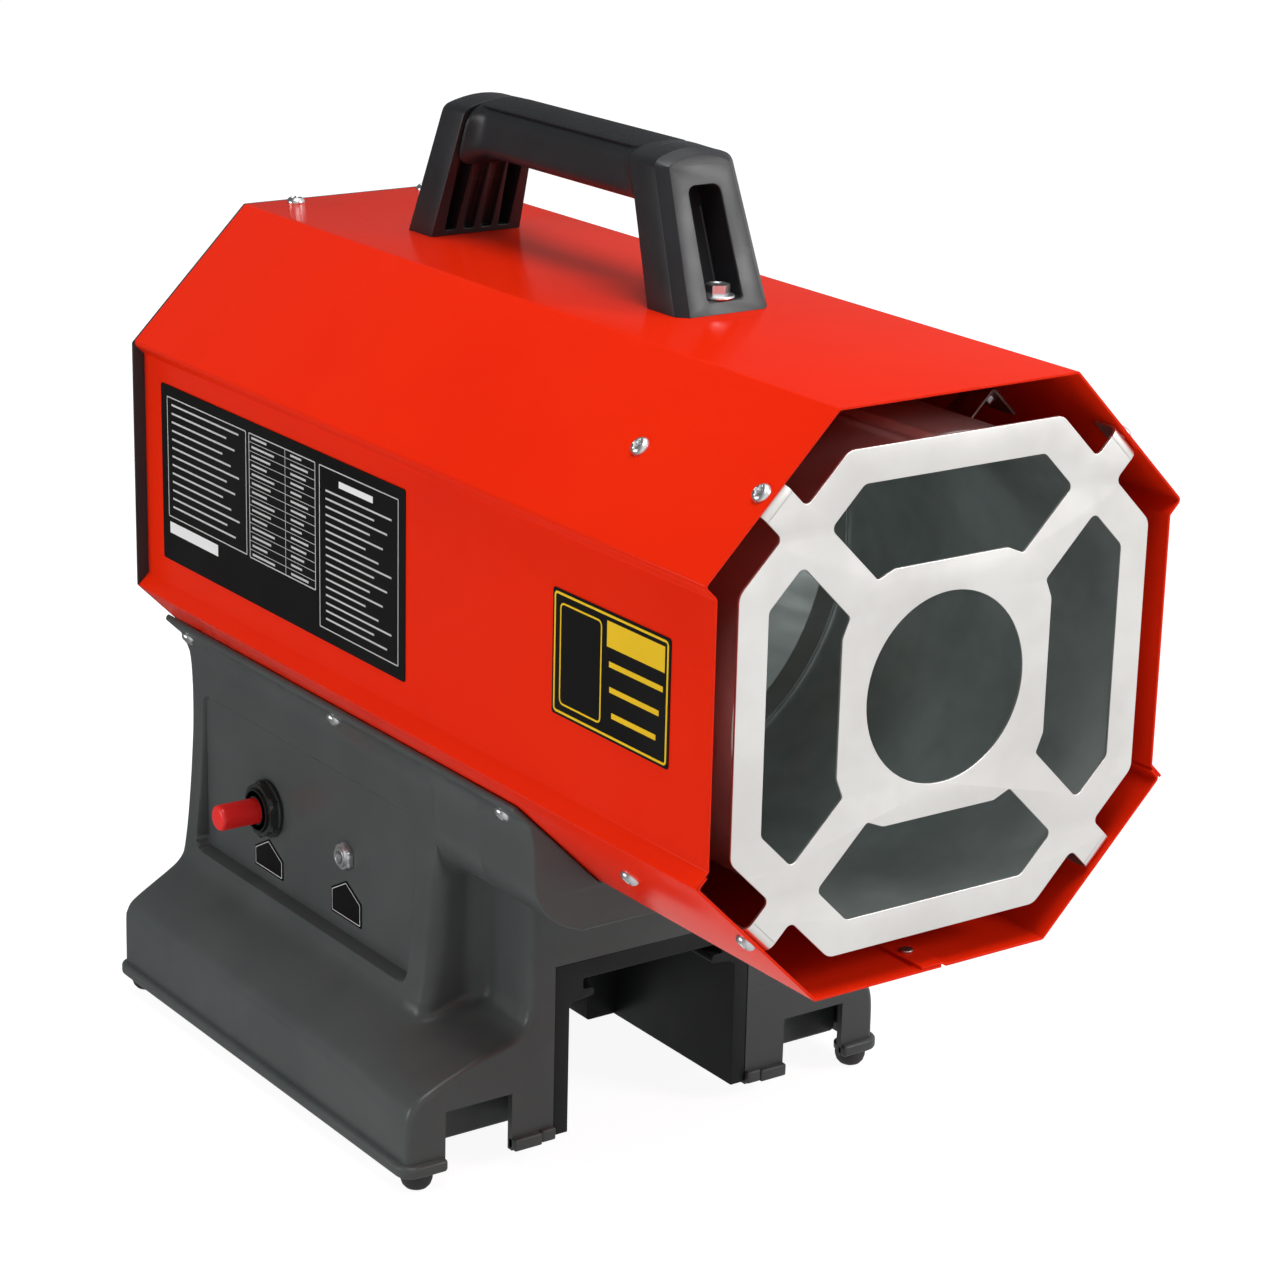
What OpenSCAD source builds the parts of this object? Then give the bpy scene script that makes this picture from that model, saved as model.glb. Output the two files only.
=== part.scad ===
// Portable gas heater: an octagonal sheet-metal body with a flame tube and a fan inside,
// a carrying handle on top, and a moulded base with the gas valve and a battery bay.
// X runs across the heater, +Y points to its rear, Z is up, and the feet stand on Z = 0.

/* [Body] */
// Half width of the octagonal body across its flats
body_hw = 105; // [95:1:126]
// Corner cut of the octagon, along X and along Z
body_cut = 53; // [44:1:60]
// Length of the body from the outlet edge to the rear panel
body_len = 400; // [390:1:480]
// How far the side panels lie inside the octagon
side_inset = 5; // [4:0.5:6]
// Thickness of the sheet metal
sheet_t = 1; // [0.8:0.1:1.2]
// Height of the saddle floor, which carries the body, above the ground
saddle_h = 129.7; // [125:0.1:156]

/* [Outlet] */
// Half width of the grille's outer frame
grille_hw = 89.9; // [80:0.1:92]
// Thickness of the grille
grille_t = 1.2; // [1:0.1:1.5]
// Where the frame's corner edges lie: the sum of x and z along them
grille_corner = 136.5; // [130:0.5:140]
// Width of the grille's frame along the sides
frame_w = 12.4; // [10:0.1:14]
// Width of the arms that reach to the body's corners
arm_w = 13.6; // [10:0.1:16]
// Radius of the round hole in the middle of the grille
grille_hole_r = 34.6; // [28:0.1:36]
// Depth of the tabs that fold back under the grille screws
tab_depth = 12; // [10:0.5:14]

/* [Flame tube] */
// Outer radius of the combustion tube
tube_r = 90; // [75:0.5:94]
// Thickness of the tube and of the cone behind it
tube_t = 0.8; // [0.6:0.1:1]
// Length of the combustion tube
tube_len = 178; // [150:1:200]
// Length of the cone that closes the tube's rear
cone_len = 50; // [42:1:60]
// Radius of the cone's neck
neck_r = 34; // [30:0.5:40]

/* [Fan] */
// Radius of the fan over its blade tips
fan_r = 78; // [65:1:80]
// Number of fan blades
fan_blades = 6; // [4:1:8]
// Radius of the motor's can
motor_r = 20; // [17:0.5:24]
// Length of the motor's can
motor_len = 54; // [45:1:56]
// Radius of the motor shaft
shaft_r = 2.5; // [2:0.1:3]
// Radius of the air inlet in the rear panel
inlet_r = 84; // [81:0.5:88]

/* [Handle] */
// Distance from the outlet edge to the handle's front foot
handle_setback = 131.8; // [125:0.1:150]
// Length of the handle over its feet
handle_len = 192; // [170:1:220]
// Height of the handle's top above the body
handle_h = 57.1; // [52:0.1:70]
// Length of a foot along the body
handle_foot = 21.5; // [20:0.1:26]
// How far each leg leans inward over its height
leg_lean = 20.5; // [15:0.5:25]
// Half width of a leg at its foot
leg_hw = 21; // [19:0.1:25]
// Half width of the grip bar
grip_hw = 13.1; // [11:0.1:15]
// Height of the grip bar, without the soft pad
grip_h = 18.5; // [16:0.1:20]

/* [Base] */
// Wall thickness of the moulded base
wall_t = 3; // [2.5:0.1:3.5]
// Distance from the outlet edge to the saddle's front end
saddle_setback = 131.2; // [125:0.1:150]
// Distance from the outlet edge to the base's front wall
base_setback = 166.8; // [160:0.1:180]
// Distance from the outlet edge to the control box
box_setback = 202.6; // [195:0.1:215]
// How far the base stands out behind the body
base_tail = 2.7; // [1:0.1:5]
// How far the base's waist at the control box lies inside the body's sides
waist_in = 26.5; // [21:0.1:28]
// Half width of the narrow front column
column_hw = 57.8; // [55:0.1:65]
// How far the feet stand out from the body's sides
foot_out = 8.7; // [5:0.1:20]
// How far the bead round the bottom edge stands out
bead_out = 2.7; // [2:0.1:3]
// Height of the base's lower edge above the ground
rim_h = 6.9; // [6.8:0.1:9]
// Thickness of the lip that lies on the tray
lip_t = 2.6; // [2:0.1:3]

/* [Battery bay] */
// Half width of the bay's liner
dock_hw = 46.7; // [44:0.1:50]
// Half width inside the bay
bay_hw = 39.9; // [37:0.1:42]
// Height of the bay's ceiling above the ground
bay_h = 72.5; // [66:0.1:76]
// Length of the liner
dock_len = 103; // [95:1:110]
// How far the rails reach inward from the bay's sides
rail_w = 11.5; // [9:0.1:13]

/* [Controls] */
// Height of both controls above the ground
control_h = 97.2; // [92:0.1:105]
// Distance from the outlet edge to the ignition button
button_setback = 337.5; // [330:0.5:345]
// Radius of the ignition button
button_r = 5.5; // [4.5:0.1:6]
// Travel of the ignition button
button_travel = 7; // [4:0.5:8]
// How far the released button stands out of its bush
button_out = 18.1; // [12:0.1:20]
// Distance from the outlet edge to the power jack
jack_setback = 273.5; // [265:0.5:285]

/* [Gas] */
// Outer radius of the inlet's male thread
thread_r = 8.3; // [7:0.1:9]
// Length of the inlet's male thread
thread_len = 12; // [10:0.5:14]
// How far the gas inlet stands out behind the body
inlet_out = 20; // [19:0.5:24]
// Radius of the gas pipe
pipe_r = 4; // [3:0.1:4.5]

/* [Fasteners] */
// Head radius of the body screws
head_r = 3.8; // [3:0.1:4.5]
// Shank radius of the body screws
shank_r = 2; // [1.5:0.1:2.2]
// Radius of the rubber feet
rubber_r = 6.4; // [5.5:0.1:6.8]

/* [Hidden] */
$fn = 64;

// Clearances: between sheets that lie on each other, between parts that are fixed, and
// between parts that run in each other.
lap_gap = 0.1;
fit_gap = 0.2;
run_gap = 0.05;
// Faces that are cut through stand this far past the solid.
past = 1;

front_y = -(body_len + inlet_out) / 2;
rear_y = front_y + body_len;
shell_end = rear_y - sheet_t - lap_gap;
axis_h = saddle_h + body_hw;
flat_hw = body_hw - body_cut;
slant_r = (2 * body_hw - body_cut) / sqrt(2);
slants = [45, -45, 135, -135];
side_x = body_hw - side_inset;
waist_hw = body_hw - waist_in;
foot_hw = body_hw + foot_out;

saddle_y = front_y + saddle_setback;
base_y = front_y + base_setback;
box_y = front_y + box_setback;
base_end = rear_y + base_tail;
saddle_gap = 0.3;
lip_r = slant_r + saddle_gap + lip_t;
lip_tip = 14.9;
lip_root = -1.3;
saddle_hw = waist_hw + 2.5;
saddle_round = 17;
saddle_bottom = saddle_h - saddle_gap - 18.6;
foot_h = 33;
shoulder_h = 40;
panel_x = waist_hw - 0.8;
recess_y = [box_y + 15.3, base_end - 11];
recess_z = [63, 131.8];

dock_top = bay_h + 7.6;
dock_y = [base_y + 0.2, base_y + dock_len];
stop_y = base_y + 83;
rail_top = bay_h - 4.5;
rail_h = 3.4;
floor_t = 2;
rib_y = base_y + 20;

grille_y = front_y + 0.5;
tube_y = grille_y + grille_t + lap_gap;
cone_y = tube_y + tube_len;
neck_y = cone_y + cone_len;
front_screw_y = front_y + 5.3;
bracket_screw_y = front_y + 74;
bracket_w = 14;

burner_y = neck_y - 6;
nozzle_y = neck_y + 10;
pipe_bend = 14;
probe_x = 25;
probe_r = 3;
riser_y = nozzle_y + 4 + pipe_bend;
motor_y = riser_y + pipe_r + 6;
plate_y = motor_y + motor_len + fit_gap;
fan_y = plate_y + 22;
strap_t = 1.5;
service_hole = [64, 34];

handle_y = front_y + handle_setback;
handle_mid = handle_y + handle_len / 2;
bolt_in = 6.8;
pocket_hw = 7.9;
pad_t = 4;
leg_floor = 4.6;

valve_len = 44;
valve_w = 30;
valve_y = base_end - wall_t - 18 - valve_len;
button_y = front_y + button_setback;
jack_y = front_y + jack_setback;
bush_r = button_r + 3.5;
bush_face = panel_x + 6.5;
bush_deep = 44;
spring_free = button_travel + 4;
jack_r = 3.9;
rubber_at = [foot_hw - 7.5, base_y + 5.6, base_end - 5.8];
saddle_screw_y = [saddle_y + 18.3, (saddle_y + base_end) / 2 + 6, base_end - 7.4];
saddle_screw_t = 3.5;
rear_screw_x = 31.5;
rear_screw_y = rear_y - 7.4;
strap_foot = body_hw - 9.5;
spring_seat = 10 + spring_free - bush_face;
block_hw = bay_hw - 16;
floor_top = rim_h + 3 + floor_t;
floor_screw_x = foot_hw - 14;
floor_screw_y = [box_y + 14, base_end - 22];
board_at = [-30, dock_y[1] + 14, floor_top + 8];
rivet_y = [for (d = [14.3, 68, 122]) front_y + d];
tray_lap = 4.5;
rivet_r = 1.6;

function unit(v) = v / norm(v);
function left_of(v) = [-v[1], v[0]];
function reversed(p) = [for (i = [len(p) - 1 : -1 : 0]) p[i]];

// A half outline at x >= 0, followed by its mirror image.
function both_sides(p) = concat(p, [for (q = reversed(p)) [-q[0], q[1]]]);

// The path p moved sideways by t, to its left, with mitred corners.
function moved(p, t) = [
    for (i = [0 : len(p) - 1])
        let (
            a = left_of(unit(p[max(i, 1)] - p[max(i, 1) - 1])),
            k = min(i, len(p) - 2),
            b = left_of(unit(p[k + 1] - p[k]))
        )
        p[i] + t * (a + b) / (1 + a * b)
];

// Points on a circle of radius r round c, from angle a0 to angle a1.
function arc(c, r, a0, a1, n = 6) = [
    for (i = [0 : n]) let (a = a0 + (a1 - a0) * i / n) c + r * [cos(a), sin(a)]
];

// A point on the lower right slant: r from the body's axis, t up along the slant.
function slant_pt(r, t) = [(r + t) / sqrt(2), axis_h + (t - r) / sqrt(2)];

// Half of the octagon of half width h, with the body's corner cut kept parallel.
function octagon(h) = let (f = flat_hw + (h - body_hw) * (sqrt(2) - 1))
    both_sides([[f, -h], [h, -f], [h, f], [f, h]]);

// The lip that lies on the tray, as the start of a half outline.
lip_path = [slant_pt(slant_r - 12, lip_tip), slant_pt(lip_r, lip_tip), slant_pt(lip_r, lip_root)];
// The outer wall of the control box down to the ground edge.
box_path = concat(
    [[waist_hw, saddle_h + 10], [waist_hw, saddle_h - 6.3], [waist_hw + 5.5, 66]],
    arc([waist_hw + 14, 66.5], 8.5, 184, 240, 4),
    [[foot_hw - 5.5, shoulder_h + 1.5]],
    arc([foot_hw - 8, foot_h - 0.5], 8, 55, 0, 4),
    [[foot_hw, rim_h]]
);
// The feet in front of the control box.
foot_path = concat(
    [[column_hw, 66], [column_hw + 6, 54.5], [column_hw + 22, 50.6], [foot_hw - 5.5, shoulder_h]],
    arc([foot_hw - 8, foot_h - 1.5], 8, 55, 0, 4),
    [[foot_hw, rim_h]]
);

// A flat outline in x and z, drawn out along Y from y0 to y1.
module along_y(y0, y1) {
    translate([0, y1, 0]) rotate([90, 0, 0]) linear_extrude(y1 - y0) children();
}

// A round bar along Y, from y0 to y1, round the point x, z.
module bar_y(x, z, y0, y1, r) {
    translate([x, y0, z]) rotate([-90, 0, 0]) cylinder(h = y1 - y0, r = r);
}

// A round bar along X, from x0 to x1, round the point y, z.
module bar_x(y, z, x0, x1, r, sides = 64) {
    translate([x0, y, z]) rotate([0, 90, 0]) cylinder(h = x1 - x0, r = r, $fn = sides);
}

// A bent sheet: the outline path p, its thickness t to the left of the path.
module sheet(p, t) {
    polygon(concat(p, reversed(moved(p, t))));
}

// The children stand on a slant, turned by angle a, at the distance r from the body's axis.
module on_slant(a, r) {
    translate([0, 0, axis_h]) rotate([0, a, 0]) translate([0, 0, r]) children();
}

// A pan-head screw: its head above z = 0 and its shank, l long, below.
module screw(l, r = shank_r, hr = head_r) {
    head_h = 0.6 * hr;
    slot_w = 0.25 * hr;
    difference() {
        union() {
            translate([0, 0, lap_gap / 2]) intersection() {
                cylinder(h = head_h, r = hr, $fn = 48);
                translate([0, 0, head_h - 2 * hr]) sphere(r = 2 * hr, $fn = 48);
            }
            translate([0, 0, -l]) cylinder(h = l + head_h / 2, r = r, $fn = 32);
        }
        for (a = [0, 90]) rotate([0, 0, a])
            translate([-0.6 * hr, -slot_w / 2, 0.45 * head_h]) cube([1.2 * hr, slot_w, head_h]);
    }
}

// A lead of radius r swept along the points p, with an eight-sided ring at each point.
module lead(p, r) {
    last = len(p) - 1;
    rings = [
        for (i = [0 : last]) let (
            j = min(i, last - 1),
            k = max(i, 1),
            d = unit(unit(p[j + 1] - p[j]) + unit(p[k] - p[k - 1])),
            u = unit(cross(d, [0.35, 0.5, 0.8])),
            v = cross(d, u)
        ) for (a = [0 : 45 : 315]) p[i] + r * (cos(a) * u + sin(a) * v)
    ];
    walls = [
        for (i = [0 : last - 1], j = [0 : 7]) let (k = (j + 1) % 8)
            [8 * i + k, 8 * i + j, 8 * i + 8 + j, 8 * i + 8 + k]
    ];
    caps = [[for (j = [0 : 7]) j], [for (j = [7 : -1 : 0]) 8 * last + j]];
    polyhedron(rings, concat(walls, caps));
}

module top_cover() {
    half = [
        [body_hw, -flat_hw], [side_x, side_inset - flat_hw], [side_x, flat_hw - side_inset],
        [body_hw, flat_hw], [flat_hw, body_hw]
    ];
    color("red") difference() {
        translate([0, 0, axis_h]) along_y(front_y, shell_end) sheet(both_sides(half), sheet_t);
        for (a = [45, -45], y = [front_screw_y, bracket_screw_y])
            on_slant(a, slant_r - 3) translate([0, y, 0]) cylinder(h = 6, r = shank_r + fit_gap);
        for (s = [-1, 1]) translate([s * rear_screw_x, rear_screw_y, axis_h + body_hw - 3])
            cylinder(h = 6, r = shank_r + fit_gap);
        for (s = [-1, 1]) translate([0, handle_mid + s * (handle_len / 2 - bolt_in), axis_h + body_hw - 3])
            cylinder(h = 6, r = 3 + fit_gap);
    }
}

// What passes through both halves of the tray.
module tray_holes() {
    for (a = [135, -135], y = [front_screw_y, bracket_screw_y])
        on_slant(a, slant_r - 3) translate([0, y, 0]) cylinder(h = 6, r = shank_r + fit_gap);
    for (s = [-1, 1], y = saddle_screw_y)
        on_slant(s * 135, slant_r - 3) translate([s * -saddle_screw_t, y, 0])
            cylinder(h = 6, r = shank_r + fit_gap);
    translate([-service_hole[0] / 2, riser_y - 10, saddle_h - past])
        cube([service_hole[0], service_hole[1], 2 * past + 2 * sheet_t + lap_gap]);
    for (y = rivet_y) translate([0, y, saddle_h - past])
        cylinder(h = 2 * past + 3 * sheet_t, r = rivet_r + run_gap);
}

// The tray's bent outline from its return behind the cover's flange to the end of its bottom.
function tray_path(bottom) = let (k = (sheet_t + lap_gap) / sqrt(2), lap = 4) concat(
    [[body_hw - k - lap, lap - flat_hw - k], [body_hw - k, -flat_hw - k], [flat_hw, -body_hw]], bottom
);

module left_tray() {
    color("red") difference() {
        translate([0, 0, axis_h]) along_y(front_y, shell_end) mirror([1, 0])
            sheet(tray_path([[-tray_lap, -body_hw]]), -sheet_t);
        tray_holes();
    }
}

// The right half steps up by one thickness to lie on the left half's edge.
module right_tray() {
    step = sheet_t + lap_gap;
    bottom = [
        [tray_lap + 2, -body_hw], [tray_lap + 0.6, step - body_hw], [-tray_lap, step - body_hw]
    ];
    color("red") difference() {
        translate([0, 0, axis_h]) along_y(front_y, shell_end) sheet(tray_path(bottom), -sheet_t);
        tray_holes();
    }
}

module tray_rivets() {
    grip = 2 * sheet_t + 2 * lap_gap;
    color("silver") for (y = rivet_y) translate([0, y, saddle_h - lap_gap / 2]) {
        translate([0, 0, -1]) cylinder(h = 1, r = 3, $fn = 32);
        translate([0, 0, -0.5]) cylinder(h = grip + 1, r = rivet_r, $fn = 32);
        translate([0, 0, grip]) cylinder(h = 0.9, r = 2.4, $fn = 32);
    }
}

// One of the grille's four windows, the one above the middle.
module grille_window() {
    a = 15.8 / sqrt(2);
    outer = grille_hw - frame_w;
    corner = grille_corner - 19.6;
    ring = grille_hole_r + 11.6;
    polygon(both_sides([
        [corner - outer, outer], [(corner - a) / 2, (corner + a) / 2],
        [ring - 14.2, ring - 14.2 + a], [ring - 21.3, ring]
    ]));
}

module front_grille() {
    reach = slant_r - sheet_t - lap_gap;
    f = grille_corner - grille_hw;
    color("gainsboro") difference() {
        union() {
            translate([0, 0, axis_h]) along_y(grille_y, grille_y + grille_t) difference() {
                union() {
                    polygon(both_sides([[f, -grille_hw], [grille_hw, -f], [grille_hw, f], [f, grille_hw]]));
                    for (a = slants) rotate(a) translate([-arm_w / 2, grille_corner / sqrt(2) - past])
                        square([arm_w, reach - grille_corner / sqrt(2) + past]);
                }
                for (a = [0 : 90 : 270]) rotate(a) grille_window();
                circle(r = grille_hole_r);
            }
            for (a = slants) on_slant(a, reach - grille_t)
                translate([-arm_w / 2, grille_y, 0]) cube([arm_w, tab_depth, grille_t]);
        }
        for (a = slants) on_slant(a, reach - 2 * grille_t)
            translate([0, front_screw_y, 0]) cylinder(h = 3 * grille_t, r = shank_r + run_gap);
    }
}

module combustion_tube() {
    color("dimgray") translate([0, tube_y, axis_h]) rotate([-90, 0, 0]) difference() {
        cylinder(h = tube_len, r = tube_r, $fn = 96);
        translate([0, 0, -past]) cylinder(h = tube_len + 2 * past, r = tube_r - tube_t, $fn = 96);
    }
}

// Four bent straps that hold the tube in the body's corners.
module tube_brackets() {
    high = slant_r - sheet_t - lap_gap;
    low = tube_r + lap_gap;
    color("silver") for (a = slants) on_slant(a, 0) difference() {
        along_y(bracket_screw_y - bracket_w / 2, bracket_screw_y + bracket_w / 2)
            sheet([[9, high], [-7, high], [-7, low], [7, low]], 1);
        translate([0, bracket_screw_y, high - 3]) cylinder(h = 6, r = shank_r + run_gap);
    }
}

module flame_cone() {
    rim_r = tube_r - tube_t - lap_gap;
    cuff = 12;
    outer = [[rim_r, -cuff], [rim_r, 0], [neck_r, cone_len], [neck_r, cone_len + 8]];
    color("slategray") translate([0, cone_y, axis_h]) rotate([-90, 0, 0]) difference() {
        rotate_extrude($fn = 96) polygon(concat(outer, reversed(moved(outer, tube_t))));
        for (a = [0 : 30 : 330]) rotate([0, 0, a]) translate([(rim_r + neck_r) / 2, 0, 0])
            cylinder(h = cone_len + past, r = 4, $fn = 32);
    }
}

module burner_head() {
    disc_r = neck_r - tube_t - lap_gap;
    color("darkgray") translate([0, burner_y, axis_h]) rotate([-90, 0, 0]) difference() {
        union() {
            cylinder(h = 1.2, r = disc_r);
            difference() {
                translate([0, 0, -14]) cylinder(h = 14, r = 17);
                translate([0, 0, -14 - past]) cylinder(h = 14 + past, r = 16);
            }
            cylinder(h = 12, r = 8);
        }
        translate([0, 0, -past]) cylinder(h = 14 + past, r = 5 + run_gap, $fn = 32);
        for (a = [22.5 : 45 : 360]) rotate([0, 0, a]) translate([probe_x + 1, 0, -past])
            cylinder(h = 4, r = 2.5, $fn = 24);
        for (s = [-1, 1]) translate([s * probe_x, 0, -past])
            cylinder(h = 4, r = probe_r + run_gap, $fn = 24);
    }
}

module gas_nozzle() {
    color("gold") translate([0, 0, axis_h]) difference() {
        union() {
            bar_y(0, 0, burner_y - 6, nozzle_y - 1, 5);
            translate([0, burner_y + 12 + lap_gap, 0]) rotate([-90, 0, 0])
                cylinder(h = nozzle_y - burner_y - 12 - 2 * lap_gap, r = 8, $fn = 6);
        }
        bar_y(0, 0, burner_y - 6 - past, nozzle_y + past, 1.5);
    }
}

// A ceramic rod with a wire through it, held in the burner's disc.
module spark_electrode() {
    x = -probe_x;
    color("white") translate([0, 0, axis_h]) {
        bar_y(x, 0, burner_y - 14, burner_y + 20, probe_r);
        bar_y(x, 0, burner_y - 26, burner_y + 26, 0.9);
        translate([x, burner_y - 26, 0]) rotate([0, 90, 0]) cylinder(h = 8, r = 0.9, $fn = 24);
        translate([x, burner_y - 26, 0]) sphere(r = 0.9, $fn = 24);
    }
}

module thermocouple() {
    x = probe_x;
    r = 1.2;
    color("peru") {
        bar_y(x, axis_h, burner_y - 20, burner_y + 20, probe_r);
        lead([
            [x, burner_y + 19, axis_h], [x, burner_y + 26, axis_h], [x, burner_y + 36, axis_h - 14],
            [x, riser_y + 8, axis_h - 60],
            [x, riser_y + 8, saddle_bottom], [x - 10, valve_y - 20, control_h + 6],
            [x - 14, valve_y - 10, control_h + 6], [x - 14, valve_y - lap_gap, control_h + 6]
        ], r);
    }
}

module gas_pipe() {
    top = axis_h;
    color("chocolate") {
        bar_y(0, top, nozzle_y, riser_y - pipe_bend, pipe_r);
        translate([0, riser_y - pipe_bend, top - pipe_bend]) rotate([0, -90, 0])
            rotate_extrude(angle = 90) translate([pipe_bend, 0]) circle(r = pipe_r, $fn = 32);
        translate([0, riser_y, control_h + pipe_bend])
            cylinder(h = top - control_h - 2 * pipe_bend, r = pipe_r);
        translate([0, riser_y + pipe_bend, control_h + pipe_bend]) rotate([0, 90, 0]) rotate([0, 0, -90])
            rotate_extrude(angle = 90) translate([pipe_bend, 0]) circle(r = pipe_r, $fn = 32);
        bar_y(0, control_h, riser_y + pipe_bend, valve_y - lap_gap, pipe_r);
    }
}

// Safety valve: a block with a round magnet housing under it and the pipe union in front.
module gas_valve() {
    half = valve_w / 2;
    color("goldenrod") difference() {
        union() {
            translate([-half, valve_y, control_h - half]) cube([valve_w, valve_len, valve_w]);
            translate([0, valve_y + valve_len / 2, control_h - half - 20]) cylinder(h = 21, r = 11);
        }
        bar_y(0, control_h, valve_y - past, valve_y + valve_len + past, pipe_r - 1);
    }
}

module gas_inlet() {
    inner = valve_y + valve_len + lap_gap;
    wall = base_end + lap_gap;
    tip = rear_y + inlet_out;
    color("goldenrod") difference() {
        union() {
            bar_y(0, control_h, inner, wall + 2, thread_r + 0.6);
            translate([0, wall, control_h]) rotate([-90, 0, 0])
                cylinder(h = tip - thread_len - wall, r = thread_r + 4, $fn = 6);
            bar_y(0, control_h, wall, tip, thread_r);
        }
        bar_y(0, control_h, inner - past, tip + past, 3.5);
    }
}

// Push-button igniter: a threaded bush through the panel with the piezo body behind it.
module piezo_igniter() {
    deep = bush_face - bush_deep;
    flange = panel_x - wall_t - lap_gap;
    color("whitesmoke") difference() {
        union() {
            bar_x(button_y, control_h, -bush_face, -deep, bush_r);
            bar_x(button_y, control_h, -flange, -flange + 3, bush_r + 3);
            bar_x(button_y, control_h, -deep - 1, -deep + 8, 3);
        }
        bar_x(button_y, control_h, -bush_face - past, spring_seat, button_r + run_gap);
    }
}

module ignition_button() {
    tip = -bush_face - button_out;
    color("crimson") {
        bar_x(button_y, control_h, tip + 1, spring_seat - spring_free - fit_gap, button_r);
        translate([tip, button_y, control_h]) rotate([0, 90, 0])
            cylinder(h = 1, r1 = button_r - 1, r2 = button_r);
    }
}

// A coil spring swept along its helix, with rings of six points.
module button_spring() {
    turns = 5;
    wire = 0.4;
    coil = button_r - 1.2;
    steps = turns * 16;
    len = spring_free - 2 * fit_gap - 2 * wire;
    x0 = spring_seat - spring_free + fit_gap + wire;
    points = [
        for (i = [0 : steps], j = [0 : 5])
            let (a = 360 * turns * i / steps, b = 60 * j, r = coil + wire * cos(b))
            [x0 + len * i / steps + wire * sin(b), button_y + r * cos(a), control_h + r * sin(a)]
    ];
    sides = [
        for (i = [0 : steps - 1], j = [0 : 5]) let (k = (j + 1) % 6)
            [6 * i + j, 6 * i + k, 6 * i + 6 + k, 6 * i + 6 + j]
    ];
    caps = [[for (j = [5 : -1 : 0]) j], [for (j = [0 : 5]) 6 * steps + j]];
    color("gray") polyhedron(points, concat(sides, caps));
}

module ignition_nut() {
    color("black") difference() {
        union() {
            bar_x(button_y, control_h, -panel_x - 2, -panel_x - lap_gap, bush_r + 3.5);
            bar_x(button_y, control_h, -panel_x - 5.4, -panel_x - lap_gap, (bush_r + 2) / cos(30), 6);
        }
        bar_x(button_y, control_h, -panel_x - 6, -panel_x + past, bush_r + run_gap);
    }
}

module power_jack() {
    flange = panel_x - wall_t - lap_gap;
    color("black") {
        difference() {
            union() {
                bar_x(jack_y, control_h, -panel_x - 3.8, -flange, jack_r);
                bar_x(jack_y, control_h, -flange, -flange + 14, jack_r + 2.2);
            }
            bar_x(jack_y, control_h, -panel_x - 3.8 - past, -flange + 9, 2.8);
        }
        bar_x(jack_y, control_h, -panel_x - 1, -flange + 10, 1);
    }
}

module jack_nut() {
    color("silver") difference() {
        bar_x(jack_y, control_h, -panel_x - 2.6, -panel_x - lap_gap, (jack_r + 1.6) / cos(30), 6);
        bar_x(jack_y, control_h, -panel_x - 3, -panel_x + past, jack_r + run_gap);
    }
}

module rear_panel() {
    lip = body_hw - sheet_t - lap_gap;
    depth = 15;
    tab_hw = flat_hw - 3;
    color("black") difference() {
        union() {
            translate([0, 0, axis_h]) along_y(rear_y - sheet_t, rear_y) polygon(octagon(body_hw));
            for (z = [lip - sheet_t, -lip])
                translate([-tab_hw, rear_y - depth, axis_h + z]) cube([2 * tab_hw, depth, sheet_t]);
        }
        bar_y(0, axis_h, rear_y - past - sheet_t, rear_y + past, inlet_r);
        translate([-2 * tray_lap, rear_y - depth - past, axis_h - lip - past])
            cube([4 * tray_lap, depth + past - sheet_t, 2 * past + sheet_t]);
        for (s = [-1, 1]) translate([s * rear_screw_x, rear_screw_y, axis_h + lip - 3])
            cylinder(h = 6, r = shank_r + run_gap);
        for (s = [-1, 1], t = [-1, 1])
            bar_y(s * strap_foot, axis_h + t * 9, rear_y - past - sheet_t, rear_y + past, 1.6 + run_gap);
    }
}

module fan_guard() {
    rings = 6;
    ring_w = 2.2;
    guard_r = inlet_r + 4;
    pitch = (guard_r - ring_w - 20) / rings;
    color("black") translate([0, 0, axis_h]) along_y(shell_end - 2, shell_end) {
        for (i = [0 : rings]) difference() {
            circle(r = 20 + ring_w + i * pitch);
            circle(r = 20 + i * pitch);
        }
        circle(r = 8);
        for (a = [0 : 45 : 135]) rotate(a) square([2 * guard_r - 2, 2.4], center = true);
    }
}

module fan_impeller() {
    hub_r = 16;
    hub_h = 16;
    pitch = 32;
    chord = 40;
    color("dimgray") translate([0, fan_y, axis_h]) rotate([-90, 0, 0]) difference() {
        union() {
            translate([0, 0, -hub_h / 2]) cylinder(h = hub_h, r = hub_r);
            intersection() {
                cylinder(h = 60, r = fan_r, center = true);
                union() for (i = [0 : fan_blades - 1]) rotate([0, 0, 360 * i / fan_blades])
                    rotate([pitch, 0, 0]) translate([hub_r - 4, -chord / 2, -0.8])
                        cube([fan_r, chord, 1.6]);
            }
        }
        cylinder(h = 60, r = shaft_r + run_gap / 2, center = true);
    }
}

module motor_shaft() {
    color("silver") bar_y(0, axis_h, motor_y + 6, fan_y + 14, shaft_r);
}

module fan_nut() {
    color("gold") translate([0, fan_y + 8 + lap_gap, axis_h]) rotate([-90, 0, 0]) difference() {
        cylinder(h = 4, r = shaft_r + 2.4, $fn = 6);
        translate([0, 0, -past]) cylinder(h = 4 + 2 * past, r = shaft_r + run_gap / 2);
    }
}

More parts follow.
